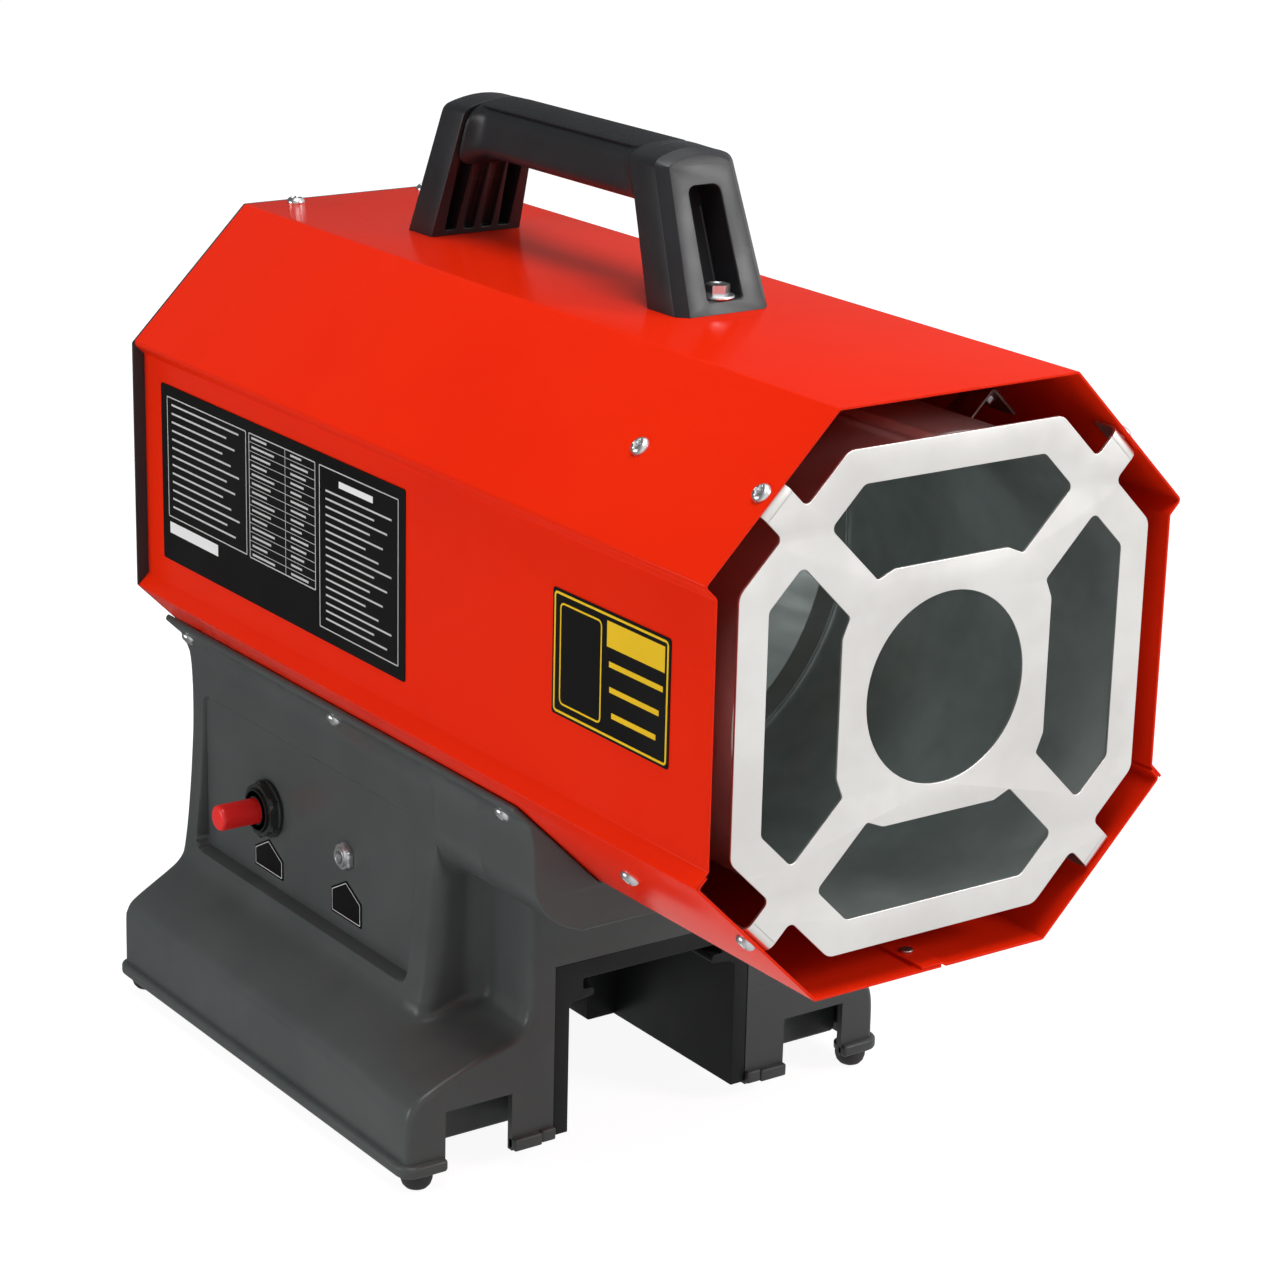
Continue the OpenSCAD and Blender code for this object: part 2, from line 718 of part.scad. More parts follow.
module fan_motor() {
    color("gray") difference() {
        union() {
            bar_y(0, axis_h, motor_y, motor_y + motor_len, motor_r);
            bar_y(0, axis_h, motor_y + motor_len - past, plate_y + strap_t + 1.5, 6);
        }
        bar_y(0, axis_h, motor_y + 5, plate_y + strap_t + 3, shaft_r + run_gap);
        for (s = [-1, 1]) bar_y(s * 12.5, axis_h, motor_y + motor_len - 6, plate_y, 1.5 + run_gap);
    }
}

// A strap across the body behind the motor, with legs back to the rear panel.
module motor_bracket() {
    leg_x = body_hw - 14;
    high = 30;
    back = rear_y - sheet_t - lap_gap;
    foot = strap_t - back;
    path = [[side_x - 2, foot], [leg_x, foot], [leg_x, -plate_y]];
    color("silver") difference() {
        translate([0, 0, axis_h - high / 2]) mirror([0, 1, 0]) linear_extrude(high)
            sheet(both_sides(path), strap_t);
        bar_y(0, axis_h, plate_y - past, plate_y + strap_t + past, 6 + fit_gap);
        for (s = [-1, 1]) bar_y(s * 12.5, axis_h, plate_y - past, plate_y + strap_t + past, 1.5 + fit_gap);
        for (s = [-1, 1], t = [-1, 1])
            bar_y(s * strap_foot, axis_h + t * 9, back - strap_t - past, back + past, 1.6 + run_gap);
    }
}

// The motor's two screws and the four that hold its bracket to the rear panel.
module motor_screws() {
    color("silver") {
        for (s = [-1, 1]) translate([s * 12.5, plate_y + strap_t, axis_h]) rotate([-90, 0, 0])
            screw(6, 1.5, 2.8);
        for (s = [-1, 1], t = [-1, 1]) translate([s * strap_foot, rear_y, axis_h + t * 9])
            rotate([-90, 0, 0]) screw(6, 1.6, 3);
    }
}

// Two leads from the control board up through the service hole to the motor.
module motor_leads() {
    y = dock_y[1] + 8;
    b = board_at;
    color("firebrick") for (s = [0, 1]) lead([
        [b[0] + 44 + 5 * s, b[1] + 4, b[2] + 1.7], [b[0] + 44 + 5 * s, b[1] + 4, b[2] + 12],
        [12 + 5 * s, y, b[2] + 30], [12 + 5 * s, y, axis_h - motor_r - 24],
        [6 + 5 * s, motor_y - 10, axis_h - motor_r + 2], [3 + 6 * s, motor_y - 6, axis_h - 8],
        [3 + 6 * s, motor_y - lap_gap, axis_h - 8]
    ], 1.1);
}

module ignition_lead() {
    x = bush_deep + 8 + lap_gap - bush_face;
    up_y = riser_y + 14;
    color("black") lead([
        [x, button_y, control_h], [x + 5, button_y, control_h], [x + 9, button_y - 14, control_h + 2],
        [x + 9, up_y + 10, control_h + 10], [-24, up_y, saddle_h - 12], [-24, up_y, axis_h - 40],
        [-probe_x, burner_y + 36, axis_h - 5], [-probe_x, burner_y + 31, axis_h],
        [-probe_x, burner_y + 26 + lap_gap, axis_h]
    ], 1.8);
}

// Leads from the jack and from the bay's contacts to the board.
module power_leads() {
    x = 14 + lap_gap + wall_t + lap_gap - panel_x;
    b = board_at;
    color("black") {
        lead([
            [x, jack_y, control_h], [x + 6, jack_y, control_h], [x + 14, jack_y + 8, control_h - 8],
            [b[0] + 8, b[1] + 30, b[2] + 20], [b[0] + 8, b[1] + 30, b[2] + 1.7]
        ], 1.6);
        lead([
            [0, dock_y[1] + lap_gap, bay_h - 14], [0, dock_y[1] + 6, bay_h - 14],
            [b[0] + 16, b[1] + 10, b[2] + 14], [b[0] + 16, b[1] + 10, b[2] + 1.7]
        ], 1.6);
    }
}

module control_board() {
    b = board_at;
    color("green") translate(b) {
        cube([60, 50, 1.6]);
        translate([30, 8, 1.5]) cube([16, 20, 12]);
        translate([26, 36, 1.5]) cylinder(h = 14, r = 5, $fn = 32);
        translate([46, 34, 1.5]) cube([8, 12, 9]);
    }
}

// Everything the base's outside is made of, before it is hollowed.
module base_outside() {
    saddle = concat(
        lip_path, [[saddle_hw, saddle_h + 8]],
        arc([saddle_hw - saddle_round, saddle_bottom + saddle_round], saddle_round, 0, -90)
    );
    difference() {
        union() {
            along_y(saddle_y, base_end) polygon(both_sides(saddle));
            along_y(box_y, base_end) polygon(both_sides(concat(lip_path, box_path)));
            along_y(base_y, base_end) polygon(both_sides(foot_path));
            translate([-column_hw, base_y, 50])
                cube([2 * column_hw, base_end - base_y, saddle_bottom - 49]);
            translate([-foot_hw - bead_out, base_y - bead_out, rim_h + 0.6])
                cube([2 * (foot_hw + bead_out), base_end - base_y + 2 * bead_out, 5.1]);
        }
        translate([0, 0, axis_h]) along_y(saddle_y - past, base_end + past)
            polygon(octagon(body_hw + saddle_gap));
    }
}

// The hollow inside the base, open at the bottom.
module base_inside() {
    w = wall_t;
    hw = saddle_hw - w - 1;
    saddle = concat(
        [[hw, saddle_h + 30]],
        arc([hw - saddle_round, saddle_bottom + w + saddle_round], saddle_round, 0, -90)
    );
    box = moved(concat([[waist_hw, saddle_h + 30]], box_path), -w);
    foot = moved(foot_path, -w);
    y1 = base_end - w;
    difference() {
        union() {
            along_y(saddle_y + w, y1) polygon(both_sides(saddle));
            along_y(box_y + w, y1) polygon(both_sides(concat(box, [[foot_hw - w, -past]])));
            along_y(base_y + w, y1) polygon(both_sides(concat(foot, [[foot_hw - w, -past]])));
            translate([w - column_hw, base_y + w, 50])
                cube([2 * (column_hw - w), y1 - base_y - w, saddle_bottom - 40]);
        }
        translate([0, 0, axis_h]) along_y(saddle_y, base_end) polygon(octagon(body_hw + saddle_gap + w));
        translate([-foot_hw, rib_y, -2 * past]) cube([2 * foot_hw, w, 70]);
    }
}

// Screw posts for the floor plate and round pads for the rubber feet.
module base_posts() {
    for (s = [-1, 1], y = floor_screw_y) translate([s * floor_screw_x, y, floor_top + fit_gap])
        cylinder(h = foot_h + 10.5 - floor_top, r = 4.5);
    for (s = [-1, 1], y = [rubber_at[1], rubber_at[2]]) translate([s * rubber_at[0], y, rim_h])
        cylinder(h = 18, r = rubber_r - 1.4);
}

module base_shell() {
    color("darkslategray") difference() {
        union() {
            difference() {
                base_outside();
                base_inside();
            }
            base_posts();
            translate([-panel_x - 1, recess_y[0] - 4, recess_z[0] - 4])
                cube([wall_t + 1, recess_y[1] - recess_y[0] + 8, recess_z[1] - recess_z[0] + 6]);
        }
        translate([-panel_x - 20, recess_y[0], recess_z[0]])
            cube([20, recess_y[1] - recess_y[0], recess_z[1] - recess_z[0]]);
        bar_x(button_y, control_h, -panel_x - past, -panel_x + wall_t + past, bush_r + fit_gap);
        bar_x(jack_y, control_h, -panel_x - past, -panel_x + wall_t + past, jack_r + fit_gap);
        bar_y(0, control_h, base_end - wall_t - past, base_end + past, thread_r + 0.6 + fit_gap);
        for (s = [-1, 1]) translate([s * (foot_hw - 32.3) - 15.2, base_y - 5, -past])
            cube([30.4, wall_t + 6, 32.5]);
        translate([-dock_hw - fit_gap, base_y - 5, -past])
            cube([2 * (dock_hw + fit_gap), dock_y[1] + fit_gap - base_y + 5, dock_top + fit_gap + past]);
        translate([-service_hole[0] / 2, riser_y - 10, saddle_h - saddle_gap - wall_t - past])
            cube([service_hole[0], service_hole[1], wall_t + 2 * past]);
        for (s = [-1, 1], y = saddle_screw_y) on_slant(s * 135, slant_r - 5)
            translate([s * -saddle_screw_t, y, 0]) cylinder(h = 12, r = shank_r + fit_gap);
        for (s = [-1, 1], y = floor_screw_y) translate([s * floor_screw_x, y, floor_top - past])
            cylinder(h = 12, r = 1.5 + run_gap);
        for (s = [-1, 1], y = [rubber_at[1], rubber_at[2]]) translate([s * rubber_at[0], y, rim_h - past])
            cylinder(h = 12, r = 3 + run_gap);
    }
}

// The liner of the battery bay: side walls, ceiling, rails, end stops and rear wall.
module battery_dock() {
    low = rim_h + 1.5;
    half = [
        [dock_hw, low], [dock_hw, dock_top], [0, dock_top]
    ];
    slot_hw = bay_hw - 6.3;
    inside = [
        [bay_hw, low - past], [bay_hw, rail_top - rail_h - 1], [bay_hw - rail_w, rail_top - rail_h],
        [bay_hw - rail_w, rail_top], [slot_hw, rail_top], [slot_hw, bay_h], [0, bay_h]
    ];
    color("dimgray") difference() {
        union() {
            difference() {
                along_y(dock_y[0], dock_y[1]) polygon(both_sides(half));
                along_y(dock_y[0] - past, dock_y[1] - wall_t) polygon(both_sides(inside));
            }
            for (s = [-1, 1]) translate([s * (bay_hw - 6) - 8, stop_y, low])
                cube([16, dock_y[1] - stop_y - past, bay_h - low + past]);
        }
        translate([-block_hw - fit_gap, dock_y[1] - wall_t - past, bay_h - 22 - fit_gap])
            cube([2 * (block_hw + fit_gap), wall_t + 2 * past, 16 + 2 * fit_gap]);
    }
}

// The contacts that meet the battery: an insulating block with four blades.
module terminal_block() {
    hw = block_hw;
    color("black") translate([0, dock_y[1] - 14, bay_h - 22]) {
        translate([-hw, 0, 0]) cube([2 * hw, 14, 16]);
        for (i = [-1.5 : 1 : 1.5]) translate([i * 11 - 0.4, -9, 4]) cube([0.8, 10, 9]);
    }
}

module base_floor() {
    hw = foot_hw - wall_t - fit_gap;
    y0 = rib_y + wall_t + fit_gap;
    y1 = base_end - wall_t - fit_gap;
    b = board_at;
    color("dimgray") difference() {
        union() {
            translate([-hw, y0, rim_h + 3]) cube([2 * hw, y1 - y0, floor_t]);
            for (dx = [5, 55], dy = [5, 45]) translate([b[0] + dx, b[1] + dy, rim_h + 4])
                cylinder(h = b[2] - rim_h - 4 - lap_gap, r = 3);
        }
        translate([-dock_hw - fit_gap, y0 - past, rim_h])
            cube([2 * (dock_hw + fit_gap), dock_y[1] + fit_gap - y0 + past, 8]);
        for (s = [-1, 1], y = floor_screw_y) translate([s * floor_screw_x, y, rim_h])
            cylinder(h = 8, r = 1.5 + fit_gap);
        for (s = [-1, 1]) translate([s * rubber_at[0], rubber_at[2], rim_h])
            cylinder(h = 8, r = rubber_r + fit_gap);
    }
}

module floor_screws() {
    color("silver") for (s = [-1, 1], y = floor_screw_y)
        translate([s * floor_screw_x, y, rim_h + 3]) rotate([180, 0, 0]) screw(10, 1.5, 3);
}

module rubber_feet() {
    sink = 0.6;
    color("black") for (s = [-1, 1], y = [rubber_at[1], rubber_at[2]]) translate([s * rubber_at[0], y, 0]) {
        intersection() {
            translate([0, 0, rubber_r - sink]) sphere(r = rubber_r, $fn = 48);
            cylinder(h = rim_h - lap_gap, r = rubber_r, $fn = 48);
        }
        translate([0, 0, rubber_r - 1]) cylinder(h = 11, r = 3, $fn = 32);
    }
}

module saddle_screws() {
    color("silver") for (s = [-1, 1], y = saddle_screw_y)
        on_slant(s * 135, lip_r) translate([s * -saddle_screw_t, y, 0]) screw(9);
}

module body_screws() {
    color("silver") for (a = slants, y = [front_screw_y, bracket_screw_y])
        on_slant(a, slant_r) translate([0, y, 0]) screw(5);
}

module rear_screws() {
    color("silver") for (s = [-1, 1]) translate([s * rear_screw_x, rear_screw_y, axis_h + body_hw])
        screw(5);
}

// One leg, leaning towards the handle's middle, with its front foot edge at y = 0.
module handle_leg() {
    slab = 0.5;
    hull() {
        translate([-leg_hw, 0, 0]) cube([2 * leg_hw, handle_foot, slab]);
        translate([3.5 - leg_hw, leg_lean, handle_h - pad_t - slab])
            cube([2 * leg_hw - 7, handle_foot - 2, slab]);
    }
}

// The bolt's pocket in a leg, open to the front.
module leg_pocket() {
    top = 43;
    lean = leg_lean * top / handle_h;
    depth = handle_foot - 5;
    translate([-pocket_hw, 0, 0]) rotate([90, 0, 90]) linear_extrude(2 * pocket_hw) polygon([
        [-10, leg_floor], [depth, leg_floor], [depth + lean - 3, top], [lean - 10, top]
    ]);
}

module handle_frame() {
    seat = axis_h + body_hw + lap_gap;
    bottom = handle_h - pad_t - grip_h;
    color("black") for (s = [0, 1]) translate([0, handle_mid, seat]) mirror([0, s, 0])
        translate([0, -handle_len / 2, 0]) difference() {
            union() {
                handle_leg();
                translate([-grip_hw, leg_lean, bottom])
                    cube([2 * grip_hw, handle_len / 2 - leg_lean, grip_h]);
            }
            leg_pocket();
            translate([0, bolt_in, -past]) cylinder(h = leg_floor + 2 * past, r = 3 + fit_gap);
        }
}

// The soft pad on top of the grip, crowned across its width.
module grip_pad() {
    thick = pad_t - lap_gap;
    r = (grip_hw * grip_hw + thick * thick) / (2 * thick);
    half = handle_len / 2 - leg_lean - 4;
    top = axis_h + body_hw + handle_h - pad_t + 2 * lap_gap;
    color("black") translate([0, 0, top]) along_y(handle_mid - half, handle_mid + half) intersection() {
        translate([0, thick - r]) circle(r = r, $fn = 96);
        translate([-grip_hw, 0]) square([2 * grip_hw, thick]);
    }
}

module handle_bolts() {
    seat = axis_h + body_hw + lap_gap + leg_floor;
    color("silver") for (s = [-1, 1])
        translate([0, handle_mid + s * (handle_len / 2 - bolt_in), seat + lap_gap]) {
            cylinder(h = 1.4, r = 6.5);
            cylinder(h = 5.2, r = 4.6, $fn = 6);
            translate([0, 0, -14]) cylinder(h = 15, r = 3);
            translate([0, 0, -leg_floor - 3 * lap_gap - sheet_t - 4.8]) cylinder(h = 4.8, r = 5.8, $fn = 6);
        }
}

// A flat plate on the left side panel, from y0 to y1 and from z0 to z1 about the axis.
module side_plate(y0, y1, z0, z1) {
    t = 0.4;
    translate([-side_x - lap_gap / 2 - t, y0, axis_h + z0]) cube([t, y1 - y0, z1 - z0]);
}

module data_label() {
    color("black") side_plate(front_y + 191.5, front_y + 383.7, -36.2, 38.3);
}

module surface_label() {
    color("gold") side_plate(front_y + 23.1, front_y + 93.1, -18.3, 27.6);
}

// A house-shaped tag under a control, its point at the height top.
module control_tag(y, top, half_w, h) {
    translate([-panel_x - 0.4, y, top]) rotate([90, 0, 90]) linear_extrude(0.35)
        polygon([[0, 0], [half_w, -6.5], [half_w, -h], [-half_w, -h], [-half_w, -6.5]]);
}

module ignition_tag() {
    color("black") control_tag(button_y, control_h - bush_r - 5, 12, 15);
}

module power_tag() {
    color("black") control_tag(jack_y, control_h - jack_r - 7, 12, 17);
}

top_cover();
left_tray();
right_tray();
tray_rivets();
front_grille();
combustion_tube();
tube_brackets();
flame_cone();
burner_head();
gas_nozzle();
spark_electrode();
thermocouple();
gas_pipe();
gas_valve();
gas_inlet();
piezo_igniter();
ignition_button();
button_spring();
ignition_nut();
power_jack();
jack_nut();
rear_panel();
fan_guard();
fan_impeller();
motor_shaft();
fan_nut();
fan_motor();
motor_bracket();
motor_screws();
motor_leads();
ignition_lead();
power_leads();
control_board();
base_shell();
battery_dock();
terminal_block();
base_floor();
floor_screws();
rubber_feet();
saddle_screws();
body_screws();
rear_screws();
handle_frame();
grip_pad();
handle_bolts();
data_label();
surface_label();
ignition_tag();
power_tag();
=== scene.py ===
"""Looks of a portable gas heater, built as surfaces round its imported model.

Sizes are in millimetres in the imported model's own axes: X across, +Y to the rear, Z up.
"""
import sys
import logging
import math
from dataclasses import dataclass
from enum import Enum
from typing import Any, Callable, Optional, Sequence

import bmesh
import bpy
import numpy as np
from mathutils import Matrix, Vector
from mathutils.geometry import tessellate_polygon


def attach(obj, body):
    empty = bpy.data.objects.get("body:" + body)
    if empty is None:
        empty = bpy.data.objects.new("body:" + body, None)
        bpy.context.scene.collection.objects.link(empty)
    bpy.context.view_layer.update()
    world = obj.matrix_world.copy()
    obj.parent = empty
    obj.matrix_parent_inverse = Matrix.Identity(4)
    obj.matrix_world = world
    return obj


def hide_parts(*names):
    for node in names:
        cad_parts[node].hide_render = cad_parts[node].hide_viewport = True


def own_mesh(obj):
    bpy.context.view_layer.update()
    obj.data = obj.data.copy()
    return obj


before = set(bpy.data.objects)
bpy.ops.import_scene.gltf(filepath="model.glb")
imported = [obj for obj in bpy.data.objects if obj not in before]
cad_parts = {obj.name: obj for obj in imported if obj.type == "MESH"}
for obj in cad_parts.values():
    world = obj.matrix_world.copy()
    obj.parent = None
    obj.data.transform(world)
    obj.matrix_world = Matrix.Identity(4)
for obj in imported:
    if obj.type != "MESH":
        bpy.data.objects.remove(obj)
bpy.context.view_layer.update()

Array = np.ndarray
LOG = logging.getLogger("heater")
MM = 0.001
DIAGONAL = math.sqrt(0.5)

# Driving dimensions of the heater, in millimetres: the height of the body's axis, half its
# width, half the width of its flat top, its inset sides, and the faces of its slants.
AXIS_H = 234.7
HALF = 105.0
FLAT = 52.0
SIDE = 100.0
SLANT = (HALF + FLAT) * DIAGONAL
# The control panel's plane, the height of everything set in it, and the clearance of a fit.
PANEL = 77.7
CONTROL_H = 97.2
FIT = 0.05
# The slants' directions round the axis, and the angle below which edges are smooth, in degrees.
CORNERS = (45, 135, 225, 315)
SMOOTH = 32.0


# ---------------------------------------------------------------- surfaces

@dataclass
class Skin:
    """Points in millimetres and the faces that join them."""

    points: Array
    faces: list

    def __add__(self, other: "Skin") -> "Skin":
        """Both skins as one.

        Args:
            other: The skin that is added.

        Returns:
            The joined skin.
        """
        shift = len(self.points)
        moved = [tuple(i + shift for i in face) for face in other.faces]
        return Skin(np.concatenate([self.points, other.points]), self.faces + moved)

    def on(self, axes: str, x: float = 0.0, y: float = 0.0, z: float = 0.0) -> "Skin":
        """Lays the skin's own axes along others and moves it.

        Args:
            axes: The axis that each own coordinate goes to; capitals reverse it.
            x: Shift along X.
            y: Shift along Y.
            z: Shift along Z.

        Returns:
            The placed skin.
        """
        out = np.empty_like(self.points)
        for i, letter in enumerate(axes):
            out[:, "xyz".index(letter.lower())] = self.points[:, i] * (-1 if letter.isupper() else 1)
        return Skin(out + [x, y, z], self.faces)

    def bent(self, rule: Callable[[Array], Array]) -> "Skin":
        """The skin with its points put through a rule."""
        return Skin(rule(self.points), self.faces)

    def turned(self, degrees: float, centre: Sequence[float] = (0, 0, AXIS_H)) -> "Skin":
        """The skin turned about a line along Y, from Z towards X.

        Args:
            degrees: The angle.
            centre: A point on the line.

        Returns:
            The turned skin.
        """
        a = math.radians(degrees)
        turn = np.array([[math.cos(a), 0, math.sin(a)], [0, 1, 0], [-math.sin(a), 0, math.cos(a)]])
        return Skin((self.points - centre) @ turn.T + centre, self.faces)

    def mirrored(self, plane: float = 0.0, axis: int = 0) -> "Skin":
        """The skin mirrored about a plane across one axis.

        Args:
            plane: The plane's place along the axis.
            axis: 0, 1 or 2 for X, Y or Z.

        Returns:
            The mirrored skin.
        """
        points = self.points.copy()
        points[:, axis] = 2 * plane - points[:, axis]
        return Skin(points, self.faces)

    def mesh(self, name: str) -> bpy.types.Mesh:
        """A mesh of the skin, in metres.

        Args:
            name: The mesh's name.

        Returns:
            The new mesh.
        """
        mesh = bpy.data.meshes.new(name)
        mesh.from_pydata((self.points * MM).tolist(), [], self.faces)
        return mesh


def joined(skins: Sequence[Skin]) -> Skin:
    """Several skins as one.

    Args:
        skins: One skin or more.

    Returns:
        The skins in one, in their order.
    """
    total = skins[0]
    for skin in skins[1:]:
        total = total + skin
    return total


def unit(v: Array) -> Array:
    """Vectors scaled to length one."""
    return v / np.linalg.norm(v, axis=-1, keepdims=True)


def ease(t: Array) -> Array:
    """The smooth step 3t^2 - 2t^3 from 0 to 1, held at its ends."""
    t = np.clip(t, 0, 1)
    return t * t * (3 - 2 * t)


def grid(points: Array, wrap: bool = False) -> Skin:
    """Quads over an array of points.

    Args:
        points: Rows by columns by three.
        wrap: Joins the last column to the first.

    Returns:
        The surface.
    """
    rows, cols = points.shape[:2]
    ids = np.arange(rows * cols).reshape(rows, cols)
    if wrap:
        ids = np.concatenate([ids, ids[:, :1]], axis=1)
    quads = np.stack([ids[:-1, :-1], ids[1:, :-1], ids[1:, 1:], ids[:-1, 1:]], axis=-1)
    return Skin(points.reshape(-1, 3), [tuple(q) for q in quads.reshape(-1, 4).tolist()])


def walled(points: Array, thick: float) -> Skin:
    """A closed wall: the surface, a copy of it moved along its normals, and a rim.

    The normal at a point is the cross product of the differences along both parameters.

    Args:
        points: Rows by columns by three.
        thick: Distance of the inner face, against the normals.

    Returns:
        The closed wall.
    """
    normal = unit(np.cross(np.gradient(points, axis=0), np.gradient(points, axis=1)))
    inner = points - thick * normal
    rim = [
        np.concatenate([g[0], g[1:, -1], g[-1, -2::-1], g[-2:0:-1, 0]]) for g in (points, inner)
    ]
    return grid(points) + grid(inner) + grid(np.stack(rim), wrap=True)


def inset(outline: Array, depth: float) -> Array:
    """A closed outline moved inward: p + d (a + b) / (1 + a.b), with a and b its edge normals.

    Args:
        outline: Points of the closed outline.
        depth: The distance; less than zero moves it outward.

    Returns:
        As many points, moved.
    """
    following = np.roll(outline, -1, axis=0)
    area = np.sum(outline[:, 0] * following[:, 1] - following[:, 0] * outline[:, 1])
    edge = unit(following - outline) * np.sign(area)
    after = np.stack([-edge[:, 1], edge[:, 0]], axis=1)
    before = np.roll(after, 1, axis=0)
    return outline + depth * (before + after) / (1 + np.sum(before * after, axis=1, keepdims=True))


def rounded(corners: Sequence, radius: Any, steps: int = 5, closed: bool = True) -> Array:
    """Rounds corners by arcs that touch both edges.

    With half the corner's angle h, the arc's centre lies r / sin h from the corner, and its
    points are blended between the two touching radii by sin((1 - s) w) and sin(s w).

    Args:
        corners: The outline's corners, two numbers each.
        radius: One radius, or one for each corner.
        steps: Pieces of each arc.
        closed: Whether the outline closes; an open path keeps its two ends.

    Returns:
        The outline's points.
    """
    p = np.asarray(corners, float)
    r = np.broadcast_to(np.asarray(radius, float), len(p))[:, None]
    a, b = unit(np.roll(p, 1, axis=0) - p), unit(np.roll(p, -1, axis=0) - p)
    half = np.arccos(np.clip(np.sum(a * b, axis=1, keepdims=True), -0.99999, 0.99999)) / 2
    centre = p + unit(a + b) * r / np.sin(half)
    first, last = p + a * r / np.tan(half) - centre, p + b * r / np.tan(half) - centre
    w = (math.pi - 2 * half)[:, None]
    s = np.linspace(0, 1, steps + 1)[None, :, None]
    arc = (np.sin((1 - s) * w) * first[:, None] + np.sin(s * w) * last[:, None]) / np.sin(w)
    out = centre[:, None] + arc
    if closed:
        return out.reshape(-1, 2)
    return np.concatenate([p[:1], out[1:-1].reshape(-1, 2), p[-1:]])


def bent_sheet(path: Sequence, thick: float, bend: float = 1.0) -> Array:
    """The closed section of a folded sheet that lies to the left of a path.

    Each fold's two arcs share a centre, so the inner one has the bend radius and the outer
    one that radius and the thickness.

    Args:
        path: Corners of the sheet's outer face.
        thick: The sheet's thickness.
        bend: Inner bend radius.

    Returns:
        The section's outline.
    """
    p = np.asarray(path, float)
    step = unit(np.diff(p, axis=0))
    left = np.stack([-step[:, 1], step[:, 0]], axis=1)
    before, after = np.concatenate([left[:1], left]), np.concatenate([left, left[-1:]])
    inner = p + thick * (before + after) / (1 + np.sum(before * after, axis=1, keepdims=True))
    turn = np.zeros(len(p))
    turn[1:-1] = step[:-1, 0] * step[1:, 1] - step[:-1, 1] * step[1:, 0]
    outer_r = np.where(turn > 0, bend + thick, bend)
    inner_r = np.where(turn > 0, bend, bend + thick)
    outer = rounded(p, outer_r, 4, closed=False)
    return np.concatenate([outer, rounded(inner, inner_r, 4, closed=False)[::-1]])


def quarter_circle(steps: int) -> Array:
    """Pairs of 1 - sin a and 1 - cos a at even steps of a quarter turn."""
    a = np.linspace(0, math.pi / 2, steps + 1)
    return np.stack([1 - np.sin(a), 1 - np.cos(a)], axis=1)


def edges(length: float, radius: float, steps: int = 3) -> Array:
    """Rings of a block with rounded rims, as pairs of inset and depth along a quarter circle."""
    front = radius * quarter_circle(steps)
    return np.concatenate([front, (front * [1, -1] + [0, length])[::-1]])


def plain_rings(length: float) -> Array:
    """Rings of a block with sharp rims."""
    return np.array([[0, 0], [0, length]])


def pocket(depth: float, mouth: float = 0.5, foot: float = 0.6) -> Array:
    """Rings of a hollow: its mouth widens by a quarter circle and its foot is rounded."""
    turn = quarter_circle(5)
    return np.concatenate([turn * [-mouth, mouth], turn[:, ::-1] * [foot, -foot] + [0, depth]])


def rect(x0: float, x1: float, y0: float, y1: float) -> Array:
    """The corners of an upright rectangle, counterclockwise."""
    return np.array([[x0, y0], [x1, y0], [x1, y1], [x0, y1]], float)


def both_sides(half: Sequence) -> Array:
    """Points on one side of an outline, then their mirror images in reverse."""
    half = np.asarray(half, float)
    return np.concatenate([half, half[::-1] * [-1, 1]])


def quarter_turned(shape: Array, quarters: int) -> Array:
    """A flat shape turned counterclockwise by quarter turns."""
    c, s = math.cos(quarters * math.pi / 2), math.sin(quarters * math.pi / 2)
    return shape @ np.array([[c, s], [-s, c]])


def layers(outline: Array, rings: Array) -> Array:
    """The outline at each ring: moved inward by the ring's inset, at the ring's depth.

    Args:
        outline: Points of the closed outline.
        rings: Pairs of inset and depth.

    Returns:
        Rings by points by three.
    """
    flat = np.stack([inset(outline, r[0]) for r in rings])
    depth = np.broadcast_to(rings[:, 1][:, None, None], flat.shape[:2] + (1,))
    return np.concatenate([flat, depth], axis=2)


def cap(loops: Sequence[Array]) -> Skin:
    """A flat face inside the first loop and outside the others."""
    triangles = tessellate_polygon([[Vector(p) for p in loop] for loop in loops])
    return Skin(np.concatenate(loops), [tuple(t) for t in triangles])


def solid(outline: Array, rings: Array, front: Sequence = (), back: Sequence = (),
          through: Sequence = ()) -> Skin:
    """A closed block drawn out from a flat outline.

    The outline is repeated at each ring, and caps close both ends. A hollow is an outline
    with its own rings, let into one end; a through hole takes the block's own rings reversed.

    Args:
        outline: The block's closed outline.
        rings: Pairs of inset and depth.
        front: Hollows in the end at depth 0.
        back: Hollows in the other end.
        through: Outlines of holes from end to end.

    Returns:
        The block, with its outline in its first two coordinates.
    """
    walls = layers(outline, rings)
    first, last, parts = [walls[0]], [walls[-1]], [grid(walls, wrap=True)]
    for shape, hollow in front:
        sunk = layers(shape, hollow)
        first.append(sunk[0])
        parts += [grid(sunk, wrap=True), cap([sunk[-1]])]
    for shape, hollow in back:
        sunk = layers(shape, hollow * [1, -1] + [0, rings[-1, 1]])
        last.append(sunk[0])
        parts += [grid(sunk, wrap=True), cap([sunk[-1]])]
    for shape in through:
        hole = layers(shape, rings * [-1, 1])
        first.append(hole[0])
        last.append(hole[-1])
        parts.append(grid(hole, wrap=True))
    return joined(parts + [cap(first), cap(last)])


def round_outline(radius: float, sides: int = 64, centre: Sequence[float] = (0, 0)) -> Array:
    """Points on a circle."""
    a = np.linspace(0, 2 * math.pi, sides, endpoint=False)
    return np.stack([np.cos(a), np.sin(a)], axis=1) * radius + centre


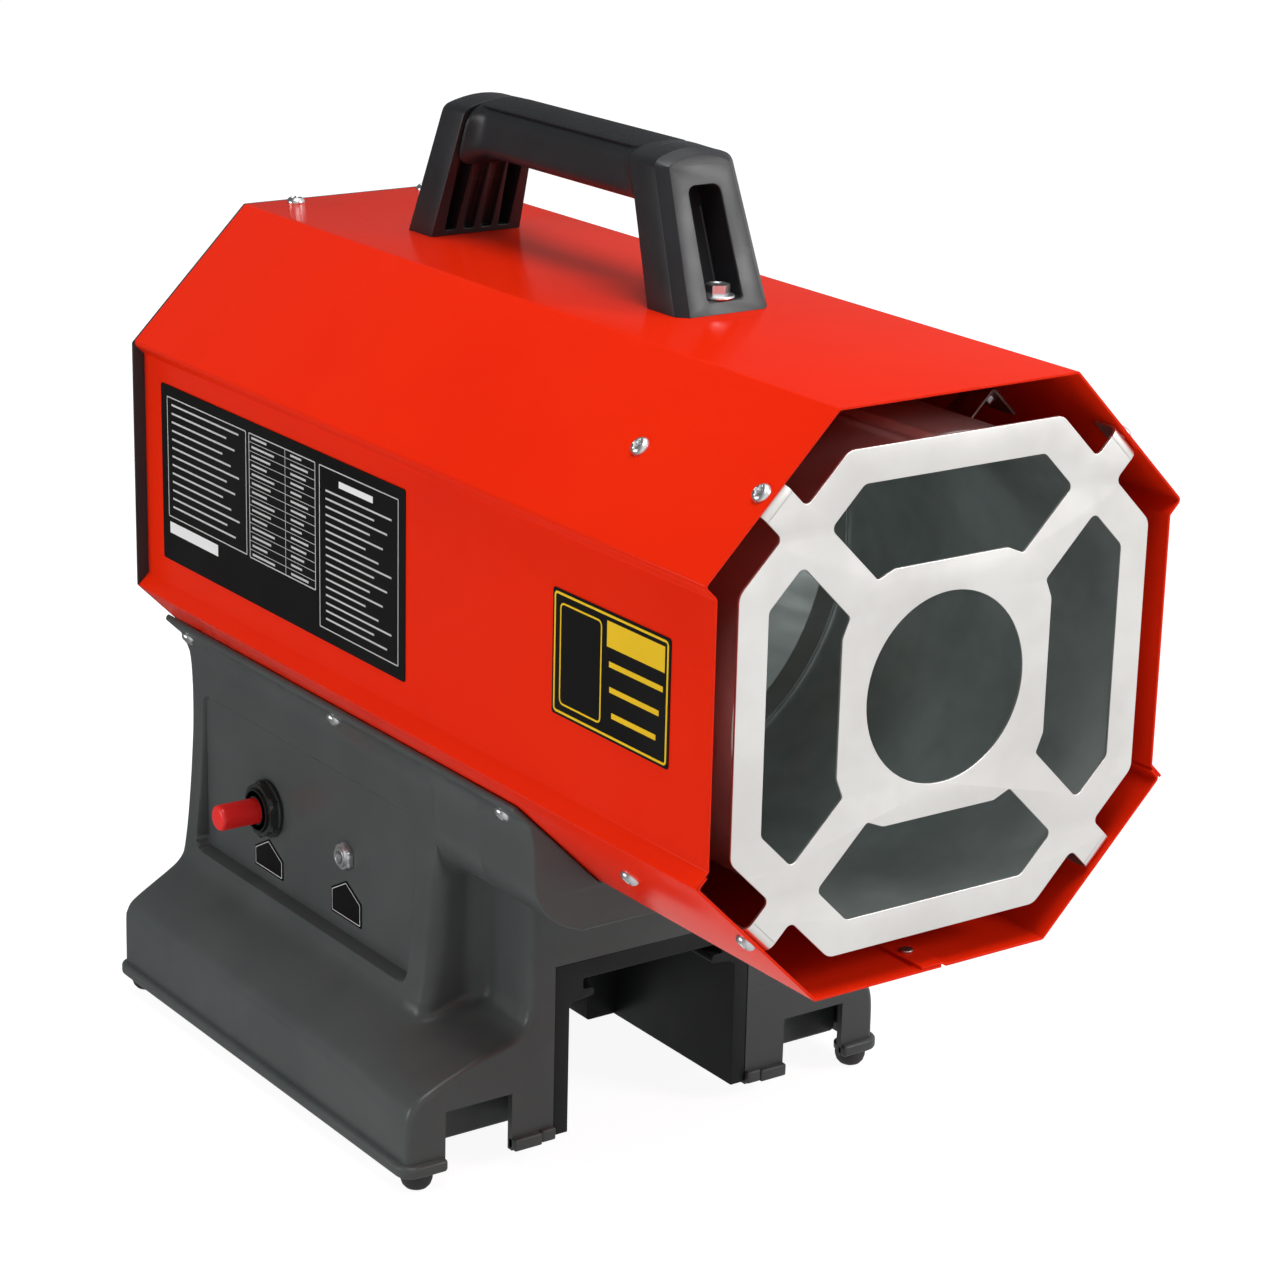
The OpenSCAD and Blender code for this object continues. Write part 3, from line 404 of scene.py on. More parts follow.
def hexagon(across: float) -> Callable[[Array], Array]:
    """The radius of a hexagon's edge at each angle: half its width over the cosine from a flat.

    Args:
        across: The width across the flats.

    Returns:
        A rule that gives the radius at each angle.
    """
    def radius(angle: Array) -> Array:
        """The edge's radius at these angles."""
        return across / 2 / np.cos((angle + math.pi / 6) % (math.pi / 3) - math.pi / 6)
    return radius


def spun(profile: Sequence, sides: int = 48, limit: Optional[Callable] = None,
         closed: bool = False) -> Skin:
    """A profile carried round an axis.

    A point is (r cos a, r sin a, h), and r is cut off where a limit such as a hexagon is less.

    Args:
        profile: Pairs of radius and height.
        sides: Columns round the axis.
        limit: The largest radius at each angle.
        closed: Whether the profile returns to its first point, as a ring's section does.

    Returns:
        The surface, with its axis along its third coordinate.
    """
    p = np.asarray(profile, float)
    if closed:
        p = np.concatenate([p, p[:1]])
    angle = np.linspace(0, 2 * math.pi, sides, endpoint=False)
    r = np.broadcast_to(p[:, :1], (len(p), sides))
    if limit is not None:
        r = np.minimum(r, limit(angle)[None])
    height = np.broadcast_to(p[:, 1:], r.shape)
    return grid(np.stack([r * np.cos(angle), r * np.sin(angle), height], axis=-1), wrap=True)


def ring(radius: float, wire: float) -> Skin:
    """A round wire bent to a circle: the wire's section spun about the axis."""
    return spun(round_outline(wire, 10, (radius, 0)), 96, closed=True)


def thread(radius: float, deep: float, turns: int, start: float, end: float, points: int) -> Array:
    """A thread's profile between two heights: its radius is r - d |2 (n t mod 1) - 1|."""
    t = np.linspace(0, 1, points)
    return np.stack([radius - deep * np.abs((turns * t) % 1 * 2 - 1), start + (end - start) * t], axis=1)


def smooth_path(points: Sequence, steps: int = 8) -> Array:
    """A curve through points, each span the cubic that keeps the slope (next - previous) / 2.

    Args:
        points: The points that the curve goes through.
        steps: Pieces of each span.

    Returns:
        The curve's points.
    """
    p = np.asarray(points, float)
    q = np.concatenate([2 * p[:1] - p[1:2], p, 2 * p[-1:] - p[-2:-1]])
    t = np.linspace(0, 1, steps, endpoint=False)[None, :, None]
    a, b, c, d = (q[i:len(q) - 3 + i, None] for i in range(4))
    curve = 0.5 * (2 * b + (c - a) * t + (2 * a - 5 * b + 4 * c - d) * t**2
                   + (3 * b - a - 3 * c + d) * t**3)
    return np.concatenate([curve.reshape(-1, p.shape[1]), p[-1:]])


def rod(points: Array, radius: float, sides: int = 12) -> Skin:
    """A round wire along a path: rings across the path's direction, closed at both ends.

    Args:
        points: The path's points.
        radius: The wire's radius.
        sides: Points round the wire.

    Returns:
        The wire.
    """
    rows = [0, *range(len(points)), -1]
    way = unit(np.gradient(points, axis=0))[rows]
    across = unit(np.cross(way, [0.35, 0.5, 0.8]))
    up = np.cross(way, across)
    a = np.linspace(0, 2 * math.pi, sides, endpoint=False)[None, :, None]
    size = np.full((len(rows), 1, 1), float(radius))
    size[[0, -1]] = 0.0
    out = np.cos(a) * across[:, None] + np.sin(a) * up[:, None]
    return grid(points[rows, None] + size * out, wrap=True)


# ---------------------------------------------------------------- finishes

class Texture(Enum):
    """The kinds of fine surface that the finishes have."""

    PEEL = "powder coat"
    MOULDED = "moulded plastic"
    BRUSHED = "brushed sheet"
    SPANGLE = "galvanised sheet"
    PEBBLE = "pebbled rubber"
    MACHINED = "turned metal"
    PLAIN = "smooth"


class Graph:
    """Adds and links the nodes of one tree."""

    def __init__(self, tree: bpy.types.NodeTree) -> None:
        """Starts from a tree."""
        self.tree = tree

    @classmethod
    def emptied(cls, owner: Any) -> "Graph":
        """The graph of a material or a world, with nothing in it.

        Args:
            owner: The material or world.

        Returns:
            Its graph.
        """
        owner.use_nodes = True
        owner.node_tree.nodes.clear()
        return cls(owner.node_tree)

    def add(self, kind: str, options: Optional[dict] = None, **inputs) -> bpy.types.Node:
        """Adds a node.

        Args:
            kind: The node's type without its prefix.
            options: The node's own properties.
            **inputs: Values or sockets by input name, with _ for a space, or _0 for an index.

        Returns:
            The node.
        """
        node = self.tree.nodes.new("ShaderNode" + kind)
        for key, value in (options or {}).items():
            setattr(node, key, value)
        for key, value in inputs.items():
            socket = node.inputs[int(key[1:])] if key[0] == "_" else node.inputs[key.replace("_", " ")]
            if isinstance(value, bpy.types.NodeSocket):
                self.tree.links.new(value, socket)
            else:
                socket.default_value = value
        return node

    def out(self, kind: str, options: Optional[dict] = None, **inputs) -> bpy.types.NodeSocket:
        """Adds a node and gives its first output."""
        return self.add(kind, options, **inputs).outputs[0]


def effect(name: str, inputs: dict, outputs: Sequence[str], build: Callable) -> bpy.types.NodeTree:
    """A node group that several finishes share, built once.

    Args:
        name: The group's name.
        inputs: Default value of each input; a tuple makes a vector input.
        outputs: Names of its value outputs.
        build: Adds the group's nodes and returns one socket for each output.

    Returns:
        The group.
    """
    tree = bpy.data.node_groups.get(name)
    if tree is None:
        tree = bpy.data.node_groups.new(name, "ShaderNodeTree")
        for key, value in inputs.items():
            kind = "NodeSocketVector" if isinstance(value, tuple) else "NodeSocketFloat"
            tree.interface.new_socket(key, in_out="INPUT", socket_type=kind).default_value = value
        for key in outputs:
            tree.interface.new_socket(key, in_out="OUTPUT", socket_type="NodeSocketFloat")
        graph = Graph(tree)
        source, sink = tree.nodes.new("NodeGroupInput"), tree.nodes.new("NodeGroupOutput")
        for i, socket in enumerate(build(graph, source.outputs)):
            tree.links.new(socket, sink.inputs[i])
    return tree


def grain_effect() -> bpy.types.NodeTree:
    """Fine grain stretched along an axis, as a height from 0 to 1.

    Returns:
        The group.
    """
    def build(g: Graph, s: Sequence) -> list:
        """Noise on stretched coordinates."""
        place = g.out("Mapping", _0=s["Vector"], Scale=s["Stretch"])
        return [g.out("TexNoise", Vector=place, Scale=s["Scale"], Detail=3.0, Roughness=0.6)]
    inputs = {"Vector": (0, 0, 0), "Scale": 100.0, "Stretch": (1, 1, 1)}
    return effect("fine_grain", inputs, ["Height"], build)


def blotch_effect() -> bpy.types.NodeTree:
    """Slow variation over the surface between two values, as handling and dust leave it.

    Returns:
        The group.
    """
    def build(g: Graph, s: Sequence) -> list:
        """Two octaves of noise, spread to the full range."""
        slow = g.out("TexNoise", Vector=s["Vector"], Scale=s["Scale"], Detail=4.0, Roughness=0.62)
        return [g.out("MapRange", {"interpolation_type": "SMOOTHSTEP"}, Value=slow,
                      From_Min=0.32, From_Max=0.68, To_Min=s["Low"], To_Max=s["High"])]
    inputs = {"Vector": (0, 0, 0), "Scale": 9.0, "Low": 0.0, "High": 1.0}
    return effect("slow_blotches", inputs, ["Value"], build)


def spangle_effect() -> bpy.types.NodeTree:
    """Zinc crystals: a flat random tone for each cell, and the cells' faint edges.

    Returns:
        The group.
    """
    def build(g: Graph, s: Sequence) -> list:
        """Voronoi cells on warped coordinates.

        Args:
            g: The group's graph.
            s: The group's inputs.

        Returns:
            The tone and the distance to the edge.
        """
        bend = g.add("TexNoise", Vector=s["Vector"], Scale=60.0, Detail=2.0).outputs[1]
        push = g.out("VectorMath", {"operation": "SCALE"}, _0=bend, Scale=0.006)
        moved = g.out("VectorMath", {"operation": "ADD"}, _0=s["Vector"], _1=push)
        cells = g.add("TexVoronoi", Vector=moved, Scale=s["Scale"]).outputs
        return [g.out("SeparateColor", Color=cells["Color"]), cells["Distance"]]
    return effect("zinc_spangle", {"Vector": (0, 0, 0), "Scale": 110.0}, ["Tone", "Edge"], build)


def scuff_effect() -> bpy.types.NodeTree:
    """A few fine scratches, as a mask from 0 to 1.

    Returns:
        The group.
    """
    def build(g: Graph, s: Sequence) -> list:
        """Thin bands of stretched noise where a slower noise lets them show.

        Args:
            g: The group's graph.
            s: The group's inputs.

        Returns:
            The mask.
        """
        place = g.out("Mapping", _0=s["Vector"], Rotation=(0.4, 0.7, 0.5), Scale=(6.0, 260.0, 260.0))
        lines = g.out("TexNoise", Vector=place, Scale=1.0, Detail=1.0)
        thin = g.out("MapRange", Value=lines, From_Min=0.70, From_Max=0.74)
        where = g.out("TexNoise", Vector=s["Vector"], Scale=14.0, Detail=1.0)
        gate = g.out("MapRange", Value=where, From_Min=0.52, From_Max=0.62)
        both = g.out("Math", {"operation": "MULTIPLY"}, _0=thin, _1=gate)
        return [g.out("Math", {"operation": "MULTIPLY"}, _0=both, _1=s["Amount"])]
    return effect("fine_scuffs", {"Vector": (0, 0, 0), "Amount": 1.0}, ["Mask"], build)


@dataclass(frozen=True)
class Finish:
    """One finish: its colours, gloss and fine surface.

    The colour runs from tone to shade with slow blotches, the roughness from the first to the
    second value with others, and the fine surface is a bump of the given depth in metres.
    """

    name: str
    slot: str
    tone: tuple
    shade: tuple
    rough: tuple
    texture: Texture = Texture.PLAIN
    metallic: float = 0.0
    grain: float = 900.0
    depth: float = 0.00002
    stretch: tuple = (1.0, 1.0, 1.0)
    shine: float = 0.5
    scuffs: float = 0.0
    blotch: float = 9.0

    def material(self) -> bpy.types.Material:
        """The finish's material, made at its first use."""
        made = bpy.data.materials.get(self.name)
        return made if made else self.build()

    def build(self) -> bpy.types.Material:
        """Builds the node tree.

        Returns:
            The new material.
        """
        material = bpy.data.materials.new(self.name)
        g = Graph.emptied(material)
        place = g.add("TexCoord").outputs["Object"]
        shader = g.add("BsdfPrincipled")
        shader.inputs["Metallic"].default_value = self.metallic
        shader.inputs["Specular IOR Level"].default_value = self.shine
        height = self.fine_height(g, place)
        mask = self.blotches(g, place, 0.0, 1.0, self.blotch)
        if self.texture is Texture.SPANGLE:
            tone = g.out("Group", {"node_tree": spangle_effect()}, Vector=place)
            mask = g.out("MapRange", Value=tone, To_Min=0.1, To_Max=0.9)
        colour = self.mixed(g, mask, (*self.tone, 1), (*self.shade, 1))
        rough = self.blotches(g, place, self.rough[0], self.rough[1], self.blotch * 2.3)
        if self.scuffs:
            scuff = g.out("Group", {"node_tree": scuff_effect()}, Vector=place, Amount=self.scuffs)
            pale = tuple(min(1.0, 0.25 + 0.8 * c) for c in self.tone)
            colour = self.mixed(g, scuff, colour, (*pale, 1))
            rough = g.out("Math", {"operation": "MULTIPLY_ADD", "use_clamp": True},
                          _0=scuff, _1=0.25, _2=rough)
        g.tree.links.new(colour, shader.inputs["Base Color"])
        g.tree.links.new(rough, shader.inputs["Roughness"])
        bump = g.out("Bump", Strength=1.0, Distance=self.depth, Height=height)
        g.tree.links.new(bump, shader.inputs["Normal"])
        g.add("OutputMaterial", {"is_active_output": True}, Surface=shader.outputs[0])
        return material

    @staticmethod
    def mixed(g: Graph, share: bpy.types.NodeSocket, first: Any, second: Any) -> bpy.types.NodeSocket:
        """The blend of two colours by a share."""
        return g.add("Mix", {"data_type": "RGBA"}, _0=share, _6=first, _7=second).outputs[2]

    @staticmethod
    def blotches(g: Graph, place: bpy.types.NodeSocket, low: float, high: float,
                 scale: float) -> bpy.types.NodeSocket:
        """Slow variation between two values."""
        return g.out("Group", {"node_tree": blotch_effect()}, Vector=place, Scale=scale,
                     Low=low, High=high)

    def fine_height(self, g: Graph, place: bpy.types.NodeSocket) -> bpy.types.NodeSocket:
        """The fine surface's height.

        Args:
            g: The material's graph.
            place: The coordinates.

        Returns:
            The height's socket.
        """
        if self.texture is Texture.PEBBLE:
            cells = g.add("TexVoronoi", {"feature": "SMOOTH_F1"}, Vector=place, Scale=self.grain)
            return cells.outputs["Distance"]
        return g.out("Group", {"node_tree": grain_effect()}, Vector=place, Scale=self.grain,
                     Stretch=self.stretch)


class Finishes:
    """Every finish of the heater."""

    RED = Finish("gloss_red_coat", "red_paint", (0.83, 0.023, 0.003), (0.79, 0.019, 0.003), (0.15, 0.22),
                 Texture.PEEL, grain=420, depth=0.00001, shine=0.06, blotch=5)
    STEEL = Finish("brushed_outlet_steel", "stainless", (0.87, 0.855, 0.83), (0.77, 0.75, 0.725),
                   (0.34, 0.46), Texture.BRUSHED, metallic=1.0, grain=60, stretch=(1, 6, 22),
                   depth=0.00002, scuffs=0.25, blotch=16)
    TUBE = Finish("tube_zinc", "galvanised", (0.66, 0.70, 0.69), (0.46, 0.50, 0.49), (0.30, 0.42),
                  Texture.BRUSHED, metallic=0.8, grain=120, stretch=(1, 0.12, 1), depth=0.000015,
                  blotch=14)
    ZINC = Finish("bracket_zinc", "galvanised", (0.62, 0.63, 0.63), (0.46, 0.47, 0.48), (0.28, 0.44),
                  Texture.SPANGLE, metallic=1.0, grain=300, depth=0.00003, scuffs=0.2)
    BLACK = Finish("satin_black_coat", "black_paint", (0.022, 0.022, 0.024), (0.032, 0.032, 0.034),
                   (0.36, 0.5), Texture.PEEL, grain=600, depth=0.00002, shine=0.3, scuffs=0.06)
    SCREW = Finish("bright_screw_plate", "nickel", (0.80, 0.81, 0.82), (0.68, 0.69, 0.70), (0.28, 0.34),
                   Texture.MACHINED, metallic=1.0, grain=1500, depth=0.000006)
    BOLT = Finish("zinc_plate", "zinc_steel", (0.72, 0.72, 0.74), (0.58, 0.59, 0.62), (0.29, 0.38),
                  Texture.MACHINED, metallic=1.0, grain=1500, depth=0.00001)
    BRASS = Finish("machined_brass", "brass", (0.80, 0.56, 0.20), (0.62, 0.42, 0.14), (0.29, 0.38),
                   Texture.MACHINED, metallic=1.0, grain=1800, stretch=(1, 0.15, 1), depth=0.00001)
    COPPER = Finish("drawn_copper", "copper", (0.80, 0.38, 0.22), (0.52, 0.24, 0.14), (0.29, 0.42),
                    Texture.MACHINED, metallic=1.0, grain=900, depth=0.00001)
    FAN = Finish("pressed_aluminium", "aluminium", (0.74, 0.75, 0.76), (0.60, 0.61, 0.62), (0.3, 0.46),
                 Texture.BRUSHED, metallic=1.0, grain=500, stretch=(1, 1, 8), depth=0.00001)
    CERAMIC = Finish("glazed_ceramic", "ceramic", (0.84, 0.82, 0.76), (0.76, 0.73, 0.66), (0.12, 0.22),
                     depth=0.00001)
    BASE = Finish("grey_moulding", "grey_plastic", (0.078, 0.087, 0.086), (0.064, 0.072, 0.072),
                  (0.30, 0.38), Texture.MOULDED, grain=2600, depth=0.00003, shine=0.3, scuffs=0.03,
                  blotch=14)
    BAY = Finish("bay_moulding", "bay_plastic", (0.024, 0.027, 0.029), (0.018, 0.021, 0.022), (0.34, 0.46),
                 Texture.MOULDED, grain=2600, depth=0.00003, shine=0.12, blotch=14)
    NUT = Finish("gloss_black_moulding", "black_plastic", (0.026, 0.030, 0.028), (0.022, 0.025, 0.024),
                 (0.12, 0.2), depth=0.00001)
    HANDLE = Finish("handle_moulding", "handle_plastic", (0.021, 0.022, 0.025), (0.015, 0.016, 0.018),
                    (0.28, 0.38), Texture.MOULDED, grain=3200, depth=0.00003, shine=0.35, scuffs=0.04,
                    blotch=20)
    GRIP = Finish("pebbled_grip", "grip_rubber", (0.016, 0.017, 0.018), (0.024, 0.025, 0.027), (0.46, 0.6),
                  Texture.PEBBLE, grain=620, depth=0.0003, shine=0.06)
    RUBBER = Finish("foot_rubber", "rubber_black", (0.020, 0.020, 0.021), (0.030, 0.030, 0.031), (0.55, 0.7),
                    Texture.MOULDED, grain=1500, depth=0.00003)
    BUTTON = Finish("red_button_moulding", "red_plastic", (0.90, 0.018, 0.016), (0.82, 0.014, 0.012),
                    (0.24, 0.34), Texture.MOULDED, grain=1200, depth=0.00001)
    LABEL = Finish("black_film", "label_black", (0.010, 0.010, 0.010), (0.014, 0.014, 0.014), (0.30, 0.38),
                   grain=700, depth=0.00001, shine=0.02)
    INK = Finish("pale_print", "label_black", (0.62, 0.62, 0.62), (0.52, 0.52, 0.52), (0.4, 0.5),
                 grain=900, shine=0.1)
    WHITE = Finish("white_print", "label_black", (0.86, 0.86, 0.86), (0.80, 0.80, 0.80), (0.4, 0.5),
                   grain=900, shine=0.1)
    YELLOW = Finish("yellow_print", "label_yellow", (0.87, 0.57, 0.02), (0.80, 0.50, 0.015), (0.3, 0.4),
                    grain=900, shine=0.06)
    LEAD = Finish("lead_sheath", "cable_sheath", (0.026, 0.026, 0.027), (0.018, 0.018, 0.019),
                  (0.42, 0.55), depth=0.00001)
    BOARD = Finish("solder_mask", "board", (0.02, 0.14, 0.05), (0.014, 0.10, 0.035), (0.25, 0.4), grain=300)


# ---------------------------------------------------------------- pieces

def islands(work: bmesh.types.BMesh) -> list:
    """Lists the connected sets of faces.

    Args:
        work: The working copy, with its faces numbered.

    Returns:
        A list of faces for each set.
    """
    seen, found = set(), []
    for first in work.faces:
        if first in seen:
            continue
        seen.add(first)
        island = [first]
        for face in island:
            fresh = {near for edge in face.edges for near in edge.link_faces} - seen
            seen |= fresh
            island += sorted(fresh, key=lambda f: f.index)
        found.append(island)
    return found


def face_outward(work: bmesh.types.BMesh) -> None:
    """Turns every island outward: its sum of v0 . (v1 x v2) over all triangles is positive.

    Args:
        work: The working copy, which is changed.
    """
    bmesh.ops.recalc_face_normals(work, faces=work.faces)
    work.faces.index_update()
    for island in islands(work):
        volume = 0.0
        for face in island:
            spots = [v.co for v in face.verts]
            volume += sum(spots[0].dot(a.cross(b)) for a, b in zip(spots[1:], spots[2:]))
        if volume < 0:
            bmesh.ops.reverse_faces(work, faces=island)


def merged(mesh: bpy.types.Mesh) -> bmesh.types.BMesh:
    """A working copy of a mesh, with its doubled points merged.

    Args:
        mesh: The mesh, which stays as it is.

    Returns:
        The working copy.
    """
    work = bmesh.new()
    work.from_mesh(mesh)
    bmesh.ops.remove_doubles(work, verts=work.verts, dist=2e-6)
    return work


def smoothed(work: bmesh.types.BMesh, mesh: bpy.types.Mesh, angle: float = SMOOTH) -> None:
    """Writes the working copy to a mesh and smooths it below an angle in degrees.

    Args:
        work: The working copy, which is freed.
        mesh: The mesh that takes its faces.
        angle: Edges sharper than this stay sharp.
    """
    work.to_mesh(mesh)
    work.free()
    mesh.shade_smooth()
    mesh.set_sharp_from_angle(angle=math.radians(angle))


def added(name: str, data: bpy.types.ID) -> bpy.types.Object:
    """Adds an object with these data to the scene.

    Args:
        name: The object's name.
        data: Its mesh, camera or lamp.

    Returns:
        The object.
    """
    obj = bpy.data.objects.new(name, data)
    bpy.context.scene.collection.objects.link(obj)
    return obj


def link(name: str, mesh: bpy.types.Mesh, finish: Finish, body: str,
         nodes: Sequence[str]) -> bpy.types.Object:
    """Adds a mesh to the scene as a piece that rides on a body and may stand for nodes.

    Args:
        name: The piece's name.
        mesh: Its mesh.
        finish: Its finish.
        body: The body that it rides on.
        nodes: CAD nodes that it stands for.

    Returns:
        The object.
    """
    obj = added(name, mesh)
    mesh.materials.clear()
    mesh.materials.append(finish.material())
    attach(obj, body)
    if nodes:
        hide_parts(*nodes)
    LOG.info("%s: %d faces, %s", name, len(mesh.polygons), finish.name)
    return obj


def piece(name: str, skin: Skin, finish: Finish, *nodes: str, body: str = "heater",
          angle: float = SMOOTH) -> bpy.types.Object:
    """Makes one piece from a skin.

    Args:
        name: The piece's name.
        skin: Its surface in millimetres.
        finish: Its finish.
        *nodes: CAD nodes that it stands for.
        body: The body that it rides on.
        angle: Edges sharper than this stay sharp, in degrees.

    Returns:
        The object.
    """
    mesh = skin.mesh(name)
    work = merged(mesh)
    bmesh.ops.dissolve_degenerate(work, edges=work.edges, dist=1e-6)
    face_outward(work)
    smoothed(work, mesh, angle)
    return link(name, mesh, finish, body, nodes)


def refined(node: str, finish: Finish, width: float = 0.3, body: str = "heater") -> bpy.types.Object:
    """Makes a piece from a CAD node: its triangles merged to flat faces and its edges rounded.

    Args:
        node: The CAD node.
        finish: The piece's finish.
        width: Width of the rounding, in millimetres.
        body: The body that it rides on.

    Returns:
        The object.
    """
    work = merged(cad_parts[node].data)
    bmesh.ops.dissolve_limit(work, angle_limit=math.radians(0.6), verts=work.verts, edges=work.edges)
    mesh = bpy.data.meshes.new(node + "_finished")
    smoothed(work, mesh)
    obj = link(mesh.name, mesh, finish, body, [node])
    if width:
        bevel = obj.modifiers.new("rounded edges", "BEVEL")
        bevel.width = width * MM
        bevel.segments = 2
        bevel.limit_method = "ANGLE"
        bevel.angle_limit = math.radians(35)
        bevel.harden_normals = True
    return obj


# ---------------------------------------------------------------- the heater

@dataclass
class Body:
    """The octagonal sheet-metal body: a folded cover and a tray of two lapped halves."""

    front: float = -210.0
    end: float = 188.9
    sheet: float = 1.0
    lap: float = 4.5

    def drawn(self, path: Sequence) -> Skin:
        """A folded sheet drawn out along the body's length."""
        section = bent_sheet(path, self.sheet) + [0, AXIS_H]
        return solid(section, edges(self.end - self.front, 0.2)).on("xzy", y=self.front)

    def build(self) -> None:
        """Makes the cover and both halves of the tray."""
        tuck = HALF - SIDE
        half = [[HALF, -FLAT], [SIDE, tuck - FLAT], [SIDE, FLAT - tuck], [HALF, FLAT], [FLAT, HALF]]
        piece("cover", self.drawn(both_sides(half)), Finishes.RED, "top_cover")
        gap = self.sheet + 0.1
        k = gap * DIAGONAL
        edge = [[HALF - k - 4, 4 - FLAT - k], [HALF - k, -FLAT - k], [FLAT, -HALF]]
        left = [[-x, z] for x, z in edge] + [[self.lap, -HALF]]
        piece("tray_left", self.drawn(left), Finishes.RED, "left_tray")
        step = [[-self.lap, gap - HALF], [self.lap + 0.6, gap - HALF], [self.lap + 2, -HALF]]
        piece("tray_right", self.drawn(step + edge[::-1]), Finishes.RED, "right_tray")
        refined("tray_rivets", Finishes.BOLT, 0.3)


@dataclass
class Outlet:
    """The steel grille, the flame tube behind it, its brackets and its cone."""

    face: float = -209.5
    thick: float = 1.2
    half: float = 89.9
    corner: float = 136.5
    frame_w: float = 12.4
    arm: float = 13.6
    hole: float = 34.6
    under: float = SLANT - 1.1
    bend: float = 2.6
    tab: float = 12.0
    tube_r: float = 90.0
    tube_y: tuple = (-208.2, -30.2)
    seam_at: float = 9.0
    seam_hw: float = 4.2
    seam_deep: float = 0.9
    strap_y: float = -136.0

    def grille_outline(self) -> Array:
        """The octagon with an arm on each corner edge, its corners rounded.

        Returns:
            The outline, about the body's axis.
        """
        f = self.corner - self.half
        e = self.corner * DIAGONAL
        reach = self.under - self.bend - self.thick - 0.3
        arm = self.arm / 2
        local = np.array([[-arm, e], [-arm, reach], [arm, reach], [arm, e]])
        turn = np.array([[DIAGONAL, -DIAGONAL], [DIAGONAL, DIAGONAL]])
        quarter = np.concatenate([[[f, self.half]], local @ turn, [[self.half, f]]])
        parts = [quarter_turned(quarter, -i) for i in range(4)]
        return rounded(np.concatenate(parts), [6.0, 2.6, 0.2, 0.2, 2.6, 6.0] * 4, 6)

    def window(self, quarter: int) -> Array:
        """One of the four windows between the arms."""
        half = [[39.4, self.half - self.frame_w], [52.9, 64.0], [32.0, 43.2], [24.9, self.hole + 11.6]]
        return quarter_turned(rounded(both_sides(half), [3.5, 2.6, 1.6, 5, 5, 1.6, 2.6, 3.5], 6), quarter)

    def tab_skin(self, degrees: float) -> Skin:
        """An arm's end, folded back under its screw, turned to its corner.

        Args:
            degrees: The corner's direction from the top.

        Returns:
            The folded end.
        """
        start = self.under - self.bend - self.thick - 0.65
        path = [[start, self.face], [self.under, self.face], [self.under, self.face + self.tab]]
        section = bent_sheet(path, self.thick, self.bend)
        crease = solid(section, edges(self.arm, 0.2)).on("zyx", x=-self.arm / 2, z=AXIS_H)
        return crease.turned(degrees)

    def grille(self) -> None:
        """The plate with its windows, and the four folded tabs."""
        holes = [self.window(i) for i in range(4)] + [round_outline(self.hole, 96)]
        plate = solid(self.grille_outline(), edges(self.thick, 0.22), through=holes)
        skin = plate.on("xzy", y=self.face, z=AXIS_H)
        tabs = [self.tab_skin(a) for a in CORNERS]
        piece("outlet_grille", joined([skin] + tabs), Finishes.STEEL, "front_grille")

    def tube(self) -> None:
        """The rolled tube with rounded rims and a lock seam, and the four straps that hold it."""
        length = self.tube_y[1] - self.tube_y[0]
        wall = [[0, 0.35], [0, length - 0.35], [-0.35, length], [-0.7, length], [-0.8, length - 0.3],
                [-0.8, 0.3], [-0.7, 0], [-0.3, 0]]
        tube = spun(np.array(wall) + [self.tube_r, 0], 240, closed=True).on("xzy", y=self.tube_y[0], z=AXIS_H)

        def seam(p: Array) -> Array:
            """Presses the seam's strip inward beside the top, eased over a width like its depth.

            Args:
                p: The tube's points.

            Returns:
                The pressed points.
            """
            angle = np.arctan2(p[:, 0], p[:, 2] - AXIS_H) + math.radians(self.seam_at)
            share = ease((self.seam_hw - np.abs(angle) * self.tube_r) / self.seam_deep)
            scale = 1 - self.seam_deep / self.tube_r * share
            return np.stack([p[:, 0] * scale, p[:, 1], AXIS_H + (p[:, 2] - AXIS_H) * scale], axis=1)
        piece("flame_tube", tube.bent(seam), Finishes.TUBE, "combustion_tube", angle=40)
        low, wide = self.tube_r + 0.1, 14.0
        path = [[wide / 2, low], [-wide / 2, low], [-wide / 2, self.under], [wide / 2 + 2, self.under]]
        section = bent_sheet(path[::-1], 1.0, 1.2)
        strap = solid(section, edges(wide, 0.2)).on("xzy", y=self.strap_y - wide / 2, z=AXIS_H)
        piece("tube_straps", joined([strap.turned(a) for a in CORNERS]), Finishes.ZINC, "tube_brackets")

    def build(self) -> None:
        """Makes the grille, the tube and what stands behind it."""
        self.grille()
        self.tube()
        refined("flame_cone", Finishes.TUBE, 0.15)
        refined("burner_head", Finishes.TUBE, 0.2)
        refined("gas_nozzle", Finishes.BRASS, 0.3)
        refined("spark_electrode", Finishes.CERAMIC, 0.15)
        refined("thermocouple", Finishes.COPPER, 0.0)


